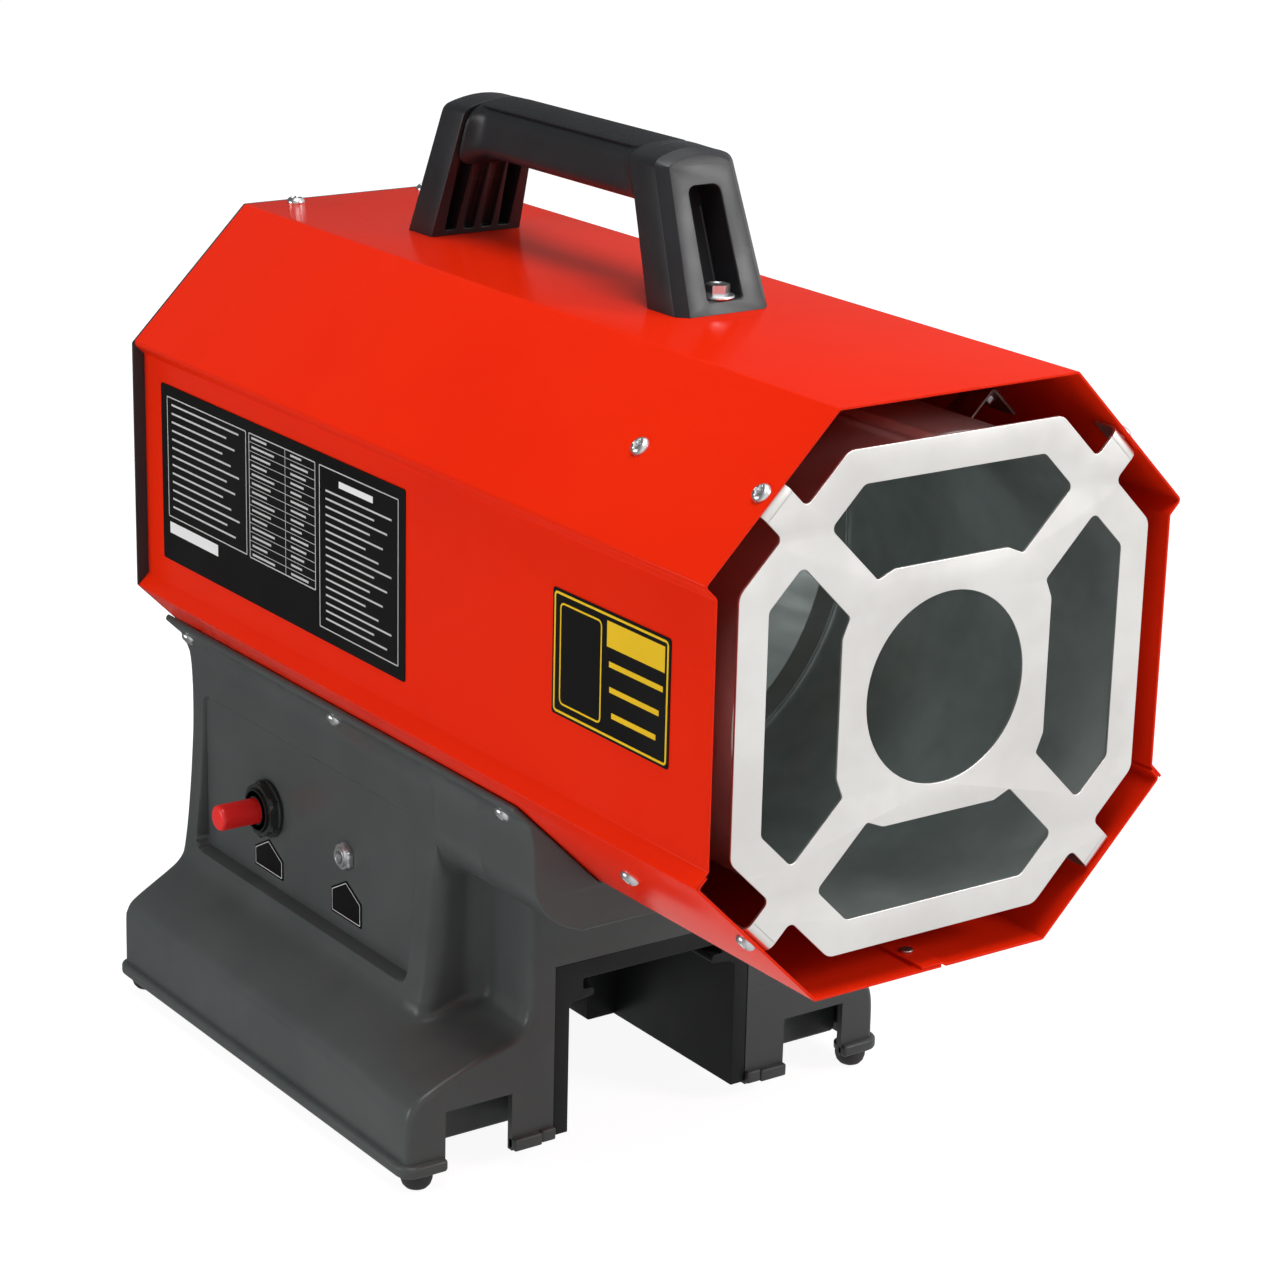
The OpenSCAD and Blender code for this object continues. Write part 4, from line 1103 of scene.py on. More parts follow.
@dataclass
class Handle:
    """The carrying handle: two leaning legs, the grip bar, its soft insert and the bolts."""

    foot_y: float = -78.2
    middle: float = 17.8
    seat: float = 339.8
    top: float = 57.0
    leg: float = 21.4
    lean: float = 0.39
    foot_hw: float = 21.0
    top_hw: float = 17.5
    grip_hw: float = 13.1
    grip_low: float = 34.4
    bar_z: float = 46.0
    crown: float = 0.0125
    insert_hw: float = 11.6
    insert_y: float = 52.0
    bolt_y: float = 6.8

    def leg_skin(self) -> Skin:
        """The front leg: a leaning block with a bevelled front, the bolt's arched pocket and ribs.

        Returns:
            The leg, standing on the roof.
        """
        x = np.linspace(self.top_hw, -self.top_hw, 9)
        crown = np.stack([x, self.top - self.crown * x**2], axis=1)
        low, foot = np.array([[self.foot_hw, -8.0]]), np.array([[self.foot_hw, 0.0]])
        top = np.concatenate([foot, crown, foot * [-1, 1]])
        over = rounded(top, [0, 4.0] + [20.0] * 7 + [4.0, 0], 5, closed=False)
        outline = np.concatenate([low, over, low * [-1, 1]])
        face = np.array([[4.2, 0.0], [4.0, 0.06], [3.8, 0.25], [0.3, 3.9], [0.08, 4.2], [0, 4.7],
                         [0, self.leg - 0.5], [0.1, self.leg - 0.15], [0.35, self.leg]])
        arch = rounded([[7.7, 4.6], [6.9, 44.5], [-6.9, 44.5], [-7.7, 4.6]], [0.8, 3.2, 3.2, 0.8], 6)
        ribs = []
        for x, deep in ((-12.6, 9.0), (-4.2, 3.4), (4.2, 3.4), (12.6, 9.0)):
            gap = [[x - 2.5, 2.2], [x + 2.5, 2.2], [x * 0.93 + 3.5, 34.5], [x * 0.93 - 3.5, 34.5]]
            ribs.append((rounded(gap, 0.9, 3), pocket(deep, 0.4, 0.6)))
        block = solid(outline, face, front=[(arch, pocket(15.8, 0.6, 1.0))], back=ribs)

        def leaned(p: Array) -> Array:
            """Rolls the front of the top down, narrows the bevel there and leans the leg by its height.

            Args:
                p: The block's points.

            Returns:
                The points of the leaning leg.
            """
            roll = np.clip(1 - p[:, 2] / 12, 0, 1) ** 2 * ease((p[:, 1] - 38) / 14)
            rise = np.clip(1 - p[:, 2] / 4.7, 0, 1) * ease((p[:, 1] - 47) / 5)
            high = np.maximum(p[:, 1] - 1.0 * roll + 2.5 * rise, 0)
            thin = 1 - 0.10 * high / self.top
            return np.stack([p[:, 0], p[:, 2] * thin + self.lean * high, high], axis=1)
        return block.bent(leaned).on("xyz", y=self.foot_y, z=self.seat)

    def grip_section(self, y: Array) -> Array:
        """The grip's rings: a squared ellipse with exponent 4.5, crowned by k x^2.

        It widens and deepens towards the legs by the square of the distance left.

        Args:
            y: The rings' places.

        Returns:
            Rings by points by three.
        """
        face = self.middle - self.foot_y - self.leg - self.lean * self.bar_z
        left = face - np.abs(y - self.middle)
        near = np.where(left < 0, np.clip(1 + left / 6, 0, 1), np.clip(1 - left / 10, 0, 1) ** 2.2)
        width = self.grip_hw + (self.top_hw - 0.5 - self.grip_hw) * near
        low = self.grip_low - 5.0 * near
        a = np.linspace(0, 2 * math.pi, 72, endpoint=False)
        cx, cz = (np.sign(f) * np.abs(f) ** (2 / 4.5) for f in (np.cos(a), np.sin(a)))
        x = width[:, None] * cx[None]
        mid, tall = (self.top + low) / 2, (self.top - low) / 2
        z = mid[:, None] + tall[:, None] * cz[None]
        z = z - 0.06 - self.crown * x**2 * (z - low[:, None]) / (self.top - low[:, None])
        side = -np.sign(y - self.middle)[:, None]
        follow = ease(1 - left / 14)[:, None] * self.lean * (z - self.bar_z) * side
        return np.stack([x, y[:, None] + follow, z], axis=-1)

    def insert(self) -> Skin:
        """The soft insert: a thin crowned sheet on the grip, its ends cut to arcs.

        Returns:
            The sheet, with its heights counted from the roof.
        """
        s, t = np.linspace(-1, 1, 33)[None, :], np.linspace(-1, 1, 81)[:, None]
        length = self.insert_y + 3.5 * (1 - s**2)
        x, y = self.insert_hw * s + 0 * t, self.middle + length * t
        near = np.minimum(1 - np.abs(s), 0.16) / 0.16, np.minimum((1 - np.abs(t)) * length, 1.2) / 1.2
        sides, ends = (np.sqrt(np.clip(n * (2 - n), 0, 1)) for n in near)
        z = self.top - self.crown * x**2 - 0.25 + 0.32 * sides * ends
        return walled(np.stack([x, y, z], axis=-1)[:, ::-1], 0.8)

    def bolt(self, y: float) -> Skin:
        """A hexagon bolt with a pressed flange, its shank through the roof, and its nut.

        Args:
            y: The bolt's place.

        Returns:
            The bolt with its nut.
        """
        pocket_floor = 4.7
        head = spun([[0, 4.6], [2.6, 4.6], [3.4, 5.1], [4.5, 5.0], [5.3, 4.3], [5.3, 1.3], [0, 1.3]], 72,
                    hexagon(8.0))
        flange = spun([[0, 1.5], [4.2, 1.9], [6.2, 1.1], [6.5, 0.5], [6.3, 0.05], [0, 0.05]], 48)
        shank = spun([[0, 0.1], [3, 0.1], [3, -13.6], [2.6, -14], [0, -14]], 32)
        nut = spun([[0, -5.9], [4.6, -5.9], [5.8, -6.6], [5.8, -9.9], [4.6, -10.6], [0, -10.6]], 72,
                   hexagon(10))
        return joined([head, flange, shank, nut]).on("xyz", y=y, z=self.seat + pocket_floor)

    def build(self) -> None:
        """Makes the handle's frame, insert and bolts."""
        leg = self.leg_skin()
        reach = self.middle - self.foot_y
        out = np.linspace(reach - 32, 40, 22)
        y = self.middle + np.concatenate([-out, np.linspace(-36, 36, 10), out[::-1]])
        rings = self.grip_section(y)
        bar = (grid(rings, wrap=True) + cap([rings[0]]) + cap([rings[-1]])).on("xyz", z=self.seat)
        piece("handle_frame_moulding", joined([leg, leg.mirrored(self.middle, 1), bar]),
              Finishes.HANDLE, "handle_frame", angle=20)
        piece("grip_insert", self.insert().on("xyz", z=self.seat), Finishes.GRIP, "grip_pad", angle=60)
        bolts = [self.bolt(self.middle + s * (reach - self.bolt_y)) for s in (-1, 1)]
        piece("handle_bolt_pair", joined(bolts), Finishes.SCREW, "handle_bolts")


def unfolded(line: Array, way: Array) -> Array:
    """A line whose points that overtook their neighbours along its first direction are averaged.

    Args:
        line: The line's points.
        way: Its direction at each point before it moved.

    Returns:
        The line without folds.
    """
    for _ in range(24):
        step = np.diff(line, axis=0)
        back = np.sum(step * (way[1:] + way[:-1]), axis=1) < 0
        if not back.any():
            break
        mean = (line[1:] + line[:-1]) / 2
        line = line.copy()
        line[:-1][back] = mean[back]
        line[1:][back] = mean[back]
    return line


def held_start(count: int) -> Array:
    """Shares of a move for an open outline's points: its lip hardly moves, and the rest follows.

    Args:
        count: How many points the outline has.

    Returns:
        One share for each point.
    """
    held = np.ones(count)
    held[:7] = 0.02
    held[7:16] = np.linspace(0.02, 1, 9)
    return held


def moved_in(outline: Array, depth: Array) -> Array:
    """An open outline moved to its inner side by a depth for each point."""
    way = unit(np.gradient(outline, axis=0))
    return unfolded(outline + np.stack([way[:, 1], -way[:, 0]], axis=1) * depth[:, None], way)


def inset_open(outline: Array, depth: float) -> Array:
    """An open outline moved to its inner side but for its lip, without doubled points.

    Args:
        outline: Points of the open outline.
        depth: The distance.

    Returns:
        The moved outline.
    """
    line = moved_in(outline, depth * held_start(len(outline)))
    apart = np.linalg.norm(np.diff(line, axis=0), axis=1) > 0.02
    return line[np.concatenate([[True], apart])]


@dataclass
class Base:
    """The moulded base: saddle, waist, control box with its recess, feet and bead."""

    saddle_y: float = -78.8
    saddle_low: float = 111.4
    front: float = -43.2
    box: float = -7.4
    end: float = 192.7
    foot: float = 113.7
    rim: float = 6.9
    wall: float = 3.0
    side_wall: float = 2.6
    corner: float = 3.0
    dock_hw: float = 46.9
    dock_top: float = 80.3
    notch: tuple = (66.2, 96.6)
    notch_top: float = 31.5
    tongue: float = 53.4
    pad_x: float = 106.2
    pad_y: tuple = (-37.6, 186.9)
    recess_y: tuple = (7.9, 181.7)
    recess_z: tuple = (63.0, 131.8)
    heights: Optional[Array] = None

    def slant(self, r: float, t: float) -> list:
        """A point on the lower right slant, r from the body's axis and t up along it."""
        return [(r + t) * DIAGONAL, AXIS_H + (t - r) * DIAGONAL]

    def lip(self) -> list:
        """The lip's outline from the tray over its tip and down its outer face."""
        tips = [(111.4, 14.6), (111.9, 14.9), (112.7, 14.9), (113.4, 14.6), (113.9, 13.9), (113.9, 9.0),
                (113.8, 4.0)]
        return [self.slant(r, t) for r, t in tips]

    @staticmethod
    def fine() -> Array:
        """Steps inward from a rim of the recess: closest together where it turns down."""
        return np.array([-2.2, -1.6, -1.1, -0.6, -0.1, 0.4, 0.9, 1.4, 1.9, 2.4, 3.0, 3.8, 5.0, 6.5])

    def pads(self) -> list:
        """The places of the four rubber feet."""
        return [(s * self.pad_x, y) for s in (-1, 1) for y in self.pad_y]

    def height_list(self) -> Array:
        """Heights of the side's rows, closest together at the recess's rims and under the saddle.

        Returns:
            The heights, from the top down.
        """
        rims = [*(self.recess_z[1] - self.fine()), *(self.recess_z[0] + self.fine())]
        under = [118.2, 116.2, 114.6, 113.4, 112.6, 112.0, 111.6, 111.2, 110.9, 110.5, 109.6]
        rest = [154.2, 151.5, 148.5, 145.5, 142.5, 139.5, 137, 121, 107, 103, 99, 95, 90.5, 86, 82, 78,
                74, 60.6]
        return np.array(sorted({round(v, 2) for v in rims + under + rest}, reverse=True))

    def side_profile(self, box: bool) -> Array:
        """The side's outline from the lip down to the ground edge.

        Rows between the lip and the cove share their heights, so the waist and the control box
        blend row by row; the cove, shoulder and foot are curves through a few points.

        Args:
            box: The control box's outline, or else the narrow front column's.

        Returns:
            Pairs of x and z.
        """
        if box:
            knots = [[84.9, 157.6], [82.8, 154.6], [80.7, 151.0], [79.8, 147.0], [79.4, 141.0],
                     [79.25, 134.0], [79.2, 124.0], [79.4, 114.0], [79.9, 105.0], [80.8, 92.0],
                     [81.9, 80.0], [83.0, 70.0], [84.4, 60.6]]
            low = [[85.4, 57.2], [88.2, 53.8], [93.0, 50.6], [100.6, 46.2], [107.0, 42.4],
                   [110.8, 39.6], [112.8, 36.2], [113.5, 32.4], [self.foot, 13.7]]
        else:
            knots = [[84.9, 157.6], [83.3, 155.4], [82.2, 152.0], [81.5, 147.4], [81.2, 138.2],
                     [80.6, 131.6], [78.9, 126.2], [76.2, 121.6], [72.2, 117.4], [67.6, 114.3],
                     [62.9, 112.2], [60.4, 111.6], [58.8, 111.0], [57.9, 109.6], [57.75, 106],
                     [57.75, 98], [57.75, 86], [57.75, 76], [57.75, 69], [57.9, 64.4], [58.7, 60.6]]
            low = [[60.4, 57.4], [64.3, 54.3], [70.5, 52.3], [79.8, 50.2], [92.5, 45.6],
                   [104.0, 41.0], [110.4, 36.8], [113.2, 29.5], [self.foot, 13.7]]
        curve = smooth_path(knots, 10)[::-1]
        x = np.interp(self.heights, curve[:, 1], curve[:, 0])
        side = np.stack([x, self.heights], axis=1)
        foot = smooth_path(knots[-1:] + low, 5)[1:]
        return np.concatenate([self.lip(), side, foot, [[self.foot, self.rim + 0.3]]])

    def stations(self) -> list:
        """Rows along Y: each gives y, the blend from column to box, and the inset of its outline.

        The front corner, the cove where the box begins, its nose and the rear edge are quarter
        circles; the cove and the nose are given as shares of the step between both outlines.

        Returns:
            The rows, from the front to the rear.
        """
        step, cove, nose, edge = 21.0, 8.0, 5.5, 2.5
        rows = [(self.front + self.corner * c, 0.0, self.corner * s) for s, c in quarter_circle(6)]
        rows += [(y, 0.0, 0.0) for y in (-34, -30, -26)]
        rows += [(self.box - cove * s, cove * c / step, 0.0) for s, c in quarter_circle(7)]
        rows += [(self.box + 0.02 * f, (cove + f * (step - cove - nose)) / step, 0.0)
                 for f in (0.25, 0.5, 0.75)]
        rows += [(self.box + nose * c + 0.03, 1 - nose * s / step, 0.0) for s, c in quarter_circle(6)]
        flat = [*(self.recess_y[0] + self.fine()), *np.linspace(24, 165, 14),
                *(self.recess_y[1] - self.fine()[::-1]), self.end - 4.5]
        rows += [(y, 1.0, 0.0) for y in flat]
        return rows + [(self.end - edge * s, 1.0, edge * c) for s, c in quarter_circle(5)]

    def side(self, recess: bool) -> Array:
        """The side wall as a grid, with the recess pressed in or not.

        A row is the blend of both outlines moved inward by the station's inset, and within the
        recess x eases to the panel's plane over the rims' widths. Down the foot the rows spread
        to even steps, where the box's end fades out.

        Args:
            recess: Whether the control panel's recess is pressed in.

        Returns:
            The grid of points at positive x.
        """
        column, box = self.side_profile(False), self.side_profile(True)
        lag = ease((np.arange(len(column)) - len(self.lip()) - len(self.heights)) / 16)[:, None]
        held = held_start(len(column))
        rows, stations = [], self.stations()
        y_all = np.array([row[0] for row in stations])
        first, last = np.searchsorted(y_all, [self.box - 8.001, self.box + 5.52])
        even = y_all.copy()
        even[first:last + 1] = np.linspace(y_all[first], y_all[last], last + 1 - first)
        for (y, blend, pull), apart in zip(stations, even):
            slow = ease((apart - self.front - 8) / 44)
            shape = moved_in(column + (blend + lag * (slow - blend)) * (box - column), pull * held)
            rows.append(np.column_stack([shape[:, 0], y + lag[:, 0] * (apart - y), shape[:, 1]]))
        rows = np.array(rows)
        if recess:
            radius = 5.0
            qy, qz = (np.abs(rows[..., k] - (low + high) / 2) - (high - low) / 2 + radius
                      for k, (low, high) in ((1, self.recess_y), (2, self.recess_z)))
            corner = np.hypot(np.maximum(qy, 0), np.maximum(qz, 0))
            press = ease((0.3 + radius - corner - np.minimum(np.maximum(qy, qz), 0)) / 0.65)
            rows[..., 0] += (PANEL - rows[..., 0]) * press * (rows[..., 0] > PANEL)
        return rows

    def overhang(self) -> Skin:
        """The saddle's front end: a block under the tray with a slim rounded rim.

        Returns:
            The block.
        """
        side = self.side_profile(False)
        side = side[side[:, 1] > self.saddle_low]
        half = np.concatenate([[self.cradle_corner()], side, [[60.5, 110.9], [56, 110.8]]])
        rings = edges(self.front + self.corner - self.saddle_y, 0.9)[:-1]
        return solid(both_sides(half), rings).on("xzy", y=self.saddle_y)

    def cradle_corner(self) -> list:
        """Where the saddle's floor turns up along the tray's lower face."""
        return [FLAT + 0.1, AXIS_H - HALF - 0.3]

    def cradle(self) -> Skin:
        """The saddle's floor: a folded wall along the tray's lower faces.

        Returns:
            The folded wall.
        """
        section = bent_sheet(both_sides([[86.0, AXIS_H - 71.45], self.cradle_corner()]), 2.4, 2)
        start = self.front + self.corner
        return solid(section, edges(self.end - 0.6 - start, 0.2)).on("xzy", y=start)

    def end_wall(self) -> Skin:
        """The rear wall, inside the rounded rear edges of both sides, with the inlet's hole.

        Returns:
            The wall.
        """
        top = [[FLAT + 0.3, AXIS_H - HALF - 0.3]]
        half = np.concatenate([top, inset_open(self.side_profile(True), 2.46)])
        hole = round_outline(9.2, 48, (0, CONTROL_H))
        block = solid(both_sides(half), plain_rings(self.wall), through=[hole])
        return block.on("xzY", y=self.end - 0.02)

    def front_wall(self) -> Skin:
        """The front wall, notched at the feet and open for the battery bay.

        Returns:
            The wall.
        """
        column = inset_open(self.side_profile(False), self.corner - 0.4)
        side = column[column[:, 1] < 117]
        low, (x0, x1) = self.rim + 0.3, self.notch
        notch = [[x1, low], [x1, self.notch_top], [x0, self.notch_top], [x0, low]]
        bay = [[self.dock_hw, low], [self.dock_hw, self.dock_top]]
        outline = both_sides(np.concatenate([side, notch, bay])[::-1])
        return solid(outline, plain_rings(self.wall)).on("xzy", y=self.front)

    def bead(self) -> Skin:
        """The bead round the ground edge: one long run and the short lengths beside the bay.

        Returns:
            The bead and its short lengths.
        """
        proud, deep, tall, z = 2.7, 5.4, 5.1, self.rim + 0.6
        out, y0, y1 = self.foot + proud, self.front - proud, self.end + proud
        x0, x1 = self.notch
        inner = out - deep + 0.2
        front = both_sides([[x1, y0], [out, y0], [out, y1]])
        back = both_sides([[-x1, y0 + deep], [-inner, y0 + deep], [-inner, y1 - deep]])
        run = rounded(np.concatenate([front, back]), [1.5, 7, 7, 7, 7, 1.5, 1.5, 2, 2, 2, 2, 1.5], 6)
        stub = rounded(rect(self.tongue, x0, y0, y0 + deep), 0.8, 3)
        low = rounded(rect(self.dock_hw, self.tongue, y0 + 0.4, y0 + deep - 0.4), 0.8, 3)
        parts = [solid(run, edges(tall, 1.4, 4)).on("xyz", z=z)]
        parts += [solid(shape * [side, 1], edges(tall, 0.7)).on("xyz", z=z + lift)
                  for side in (1, -1) for shape, lift in ((stub, 0.0), (low, 0.5))]
        return joined(parts)

    def ribs(self) -> Skin:
        """The ribs behind the notches, the bosses over the rubber feet and the screws' posts.

        Returns:
            All of them in one.
        """
        half = self.dock_hw + 0.3
        rib = rounded([[half, 8.5], [109, 8.5], [109, 33], [105, 36.5], [80, 46], [half, 54]], 2.0, 4)
        boss = spun([[0, 7.0], [6.6, 7.0], [7.0, 7.5], [7.0, 9.5], [5.2, 10.6], [5.0, 24], [0, 24]], 40)
        post = spun([[0, 12.1], [4.5, 12.1], [4.5, 41.5], [0, 41.5]], 32)
        parts = [solid(rib * [s, 1], edges(3, 1.2)).on("xzy", y=-23.2) for s in (1, -1)]
        parts += [boss.on("xyz", x=x, y=y) for x, y in self.pads()]
        return joined(parts + [post.on("xyz", x=s * 99.7, y=y) for s in (-1, 1) for y in (6.6, 170.7)])

    def build(self) -> None:
        """Makes the base's shell as one piece."""
        self.heights = self.height_list()
        right = walled(self.side(False)[:, ::-1], self.side_wall)
        left = walled(self.side(True)[:, ::-1], self.side_wall).mirrored()
        skin = joined([right, left, self.overhang(), self.cradle(), self.end_wall(), self.front_wall(),
                       self.bead(), self.ribs()])
        piece("base_moulding", skin, Finishes.BASE, "base_shell", angle=58)
        refined("base_floor", Finishes.BAY, 0.5)
        refined("floor_screws", Finishes.BOLT, 0.15)
        dome = spun([[0, 0], [2.6, 0], [4.4, 0.9], [5.6, 2.3], [6.25, 4.2], [6.4, 5.6], [6.3, 6.6],
                     [6.0, 6.85], [2.95, 6.9], [2.95, 16], [0, 16.4]], 48)
        feet = [dome.on("xyz", x=x, y=y) for x, y in self.pads()]
        piece("foot_pads", joined(feet), Finishes.RUBBER, "rubber_feet", angle=45)


@dataclass
class Dock:
    """The battery bay's liner and the contacts in it."""

    y: tuple = (-43.0, 59.8)
    low: float = 8.4
    half: float = 46.7
    inner: float = 39.9
    top: float = 80.1
    ceiling: float = 72.5
    rail: float = 28.4
    rail_low: float = 64.6
    slot: float = 33.6
    stop_y: float = 39.8

    def build(self) -> None:
        """Makes the liner with its rails, stops and rear wall."""
        outer = both_sides([[self.half, self.low], [self.half, self.top]])
        inner = both_sides([[-self.inner, self.low], [-self.inner, 63.4], [-self.rail, self.rail_low],
                            [-self.rail, 68.0], [-self.slot, 68.0], [-self.slot, self.ceiling]])
        radii = [0.4, 1.2, 1.2, 0.4, 0.4, 2.2, 1.5, 1.5, 0.6, 0.8, 0.8, 0.6, 1.5, 1.5, 2.2, 0.4]
        section = rounded(np.concatenate([outer, inner]), radii, 4)
        liner = solid(section, edges(self.y[1] - self.y[0] - 0.2, 0.35)).on("xzy", y=self.y[0])
        wall = rounded(rect(1 - self.half, self.half - 1, self.low + 0.5, self.top - 1), 0.5, 2)
        hole = rounded(rect(-24.1, 24.1, 50.3, 66.7), 0.5, 2)
        rear = solid(wall, edges(3, 0.2), through=[hole]).on("xzy", y=self.y[1] - 3)
        stop = rounded(rect(25.9, 41.5, self.low + 0.4, 70), 1.0, 3)
        stops = [solid(stop * [s, 1], edges(18, 0.8)).on("xzy", y=self.stop_y) for s in (1, -1)]
        piece("bay_liner", joined([liner, rear] + stops), Finishes.BAY, "battery_dock", angle=38)
        refined("terminal_block", Finishes.NUT, 0.3)


@dataclass
class Controls:
    """The ignition button with its nut, the power jack with its nut, and their tags."""

    button_y: float = 127.5
    button_foot: float = -74.5
    jack_y: float = 63.5

    @staticmethod
    def hung(skin: Skin, y: float, x: float = -PANEL) -> Skin:
        """A spun skin with its axis out of the panel, its zero at x."""
        return skin.on("yzX", x=x, y=y, z=CONTROL_H)

    @staticmethod
    def tag(y: float, top: float, tall: float) -> tuple:
        """A house-shaped tag and the fine line inside its edge.

        Args:
            y: The tag's middle.
            top: The height of its peak.
            tall: Its height.

        Returns:
            The film and the line.
        """
        corners = np.array([[0, 0], [12, -6.5], [12, -tall], [-12, -tall], [-12, -6.5]], float)
        film = solid(rounded(corners, 0.5, 3), edges(0.35, 0.08))
        inner = rounded(inset(corners, 1.15), 0.2, 3)
        line = solid(rounded(inset(corners, 0.8), 0.4, 3), plain_rings(0.05), through=[inner])
        return tuple(skin.on("yzX", x=-PANEL - lift, y=y, z=top)
                     for skin, lift in ((film, FIT), (line, 0.38)))

    def build(self) -> None:
        """Makes the controls."""
        button = spun([[0, 27.8], [3.9, 27.8], [4.6, 27.65], [5.2, 27.1], [5.45, 26.3], [5.5, 25.2],
                       [5.5, 0.1], [5.2, 0], [0, 0]], 56)
        piece("igniter_button", self.hung(button, self.button_y, self.button_foot), Finishes.BUTTON,
              "ignition_button", body="button", angle=50)
        collar = spun([[9.05, 0.1], [12.1, 0.1], [12.5, 0.45], [12.5, 1.5], [12.1, 2.0], [9.05, 2.1]], 72,
                      closed=True)
        nut = spun([[9.05, 2.0], [12.5, 2.0], [12.75, 2.4], [12.75, 4.3], [11.2, 5.35], [9.6, 5.4],
                    [9.05, 5.0]], 96, hexagon(22.0), closed=True)
        piece("igniter_nut", self.hung(collar + nut, self.button_y), Finishes.NUT, "ignition_nut")
        ridges = thread(8.99, 0.35, 7, -3, 6.3, 45)
        bush = np.concatenate([ridges, [[8.4, 6.5], [6.2, 6.5], [5.75, 6.1], [5.6, 5], [5.6, -12],
                                        [ridges[0, 0], -12]]])
        piece("igniter_bush", self.hung(spun(bush, 72, closed=True), self.button_y), Finishes.HANDLE)
        refined("piezo_igniter", Finishes.HANDLE, 0.0)
        jack_nut = spun([[3.95, 0.1], [6.35, 0.1], [6.35, 1.9], [5.3, 2.55], [4.3, 2.6], [3.95, 2.3]], 72,
                        hexagon(11.0), closed=True)
        piece("jack_ring_nut", self.hung(jack_nut, self.jack_y), Finishes.SCREW, "jack_nut")
        barrel = np.concatenate([thread(3.88, 0.22, 6, -3.2, 3.2, 31), [[3.6, 3.6], [3.3, 3.8],
                                 [3.0, 3.75], [2.8, 3.4], [2.8, -3.2]]])
        piece("jack_barrel", self.hung(spun(barrel, 48, closed=True), self.jack_y), Finishes.SCREW)
        refined("power_jack", Finishes.SCREW, 0.2)
        spring = refined("button_spring", Finishes.BOLT, 0.0)
        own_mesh(spring)
        for name, y, below, tall in (("ignition_tag", self.button_y, 14.0, 15.0),
                                     ("power_tag", self.jack_y, 10.9, 17.0)):
            film, line = self.tag(y, CONTROL_H - below, tall)
            piece(name + "_film", film, Finishes.LABEL, name)
            piece(name + "_line", line, Finishes.INK)


@dataclass
class Labels:
    """The two plates on the left side panel, ruled but without words."""

    thick: float = 0.38
    ink: float = 0.06
    sunk: float = 0.02
    top: float = 33.7
    table: float = 51.4

    def plate(self, y: tuple, z: tuple) -> Skin:
        """A thin plate on the panel."""
        shape = rounded(rect(*y, *z), 1.2, 4)
        return solid(shape, edges(self.thick, 0.1)).on("yzX", x=-SIDE - FIT, z=AXIS_H)

    def print_skin(self, shapes: Sequence) -> Skin:
        """Flat printed shapes sunk a little into the plate, each an outline and the holes in it."""
        parts = [solid(s[0], plain_rings(self.ink), through=s[1:]) for s in shapes]
        return joined(parts).on("yzX", x=-SIDE - FIT - self.thick + self.sunk, z=AXIS_H)

    @staticmethod
    def bar(y0: float, y1: float, z: float, half: float) -> list:
        """A plain bar, with half its height."""
        return [rect(y0, y1, z - half, z + half)]

    @staticmethod
    def box(y0: float, y1: float, z0: float, z1: float, line: float = 0.45, radius: float = 0.1) -> list:
        """A ruled frame."""
        corners = rect(y0, y1, z0, z1)
        return [rounded(corners, radius + line, 3), rounded(inset(corners, line), radius, 3)]

    def data(self) -> list:
        """Frames and rows of plain bars in place of words; lengths repeat by a fixed rule.

        Returns:
            The shapes, each an outline and the holes in it.
        """
        shapes = [self.box(101.9, 168.5, -17.3, self.top), self.box(47.3, 99.7, -17.7, self.top),
                  self.box(-14.0, 44.4, -31.2, self.top)]
        rows = 14
        shapes += [self.bar(47.7, 99.3, self.top - self.table * i / rows, 0.12) for i in range(1, rows)]
        shapes.append([rect(70.6, 70.9, -17.3, 33.3)])
        for i in range(rows):
            z = self.top - self.table * (i + 0.5) / rows
            shapes.append(self.bar(85.4 - 6 * ((i * 5) % 3) / 2, 97.4, z, 0.45))
            shapes.append(self.bar(58 - 5 * ((i * 7) % 4) / 3, 66.5, z, 0.45))
        shapes += [self.bar(108 + 17 * ((i * 3) % 5) / 5, 164.5, 30.6 - 3.6 * i, 0.4) for i in range(13)]
        shapes += [self.bar(-9 + 22 * ((i * 4) % 7) / 7, 39.5, 24.4 - 3.2 * i, 0.38) for i in range(17)]
        return shapes

    def build(self) -> None:
        """Makes both plates and their prints."""
        piece("data_plate", self.plate((-18.5, 173.7), (-36.2, 38.3)), Finishes.LABEL, "data_label")
        piece("data_plate_rules", self.print_skin(self.data()), Finishes.INK)
        bars = [self.bar(126.3, 167.5, -21.8, 2.4), self.bar(4.5, 29.5, 28.9, 1.3)]
        piece("data_plate_bars", self.print_skin(bars), Finishes.WHITE)
        piece("side_plate", self.plate((-186.9, -116.9), (-18.3, 27.6)), Finishes.LABEL, "surface_label")
        lines = ((-183.0, -151.5), (-181.0, -152.0), (-179.5, -153.5))
        frames = [self.box(-185.9, -117.9, -17.3, 26.6, 0.9, 0.8)]
        frames += [self.bar(a, b, 9.0 - 9 * i, 1.0) for i, (a, b) in enumerate(lines)]
        frames += [self.bar(-183.8, -150.0, 19.6, 4.6), self.box(-147.0, -121.5, -14.0, 23.2, 0.7, 1.5)]
        piece("side_plate_print", self.print_skin(frames), Finishes.YELLOW)


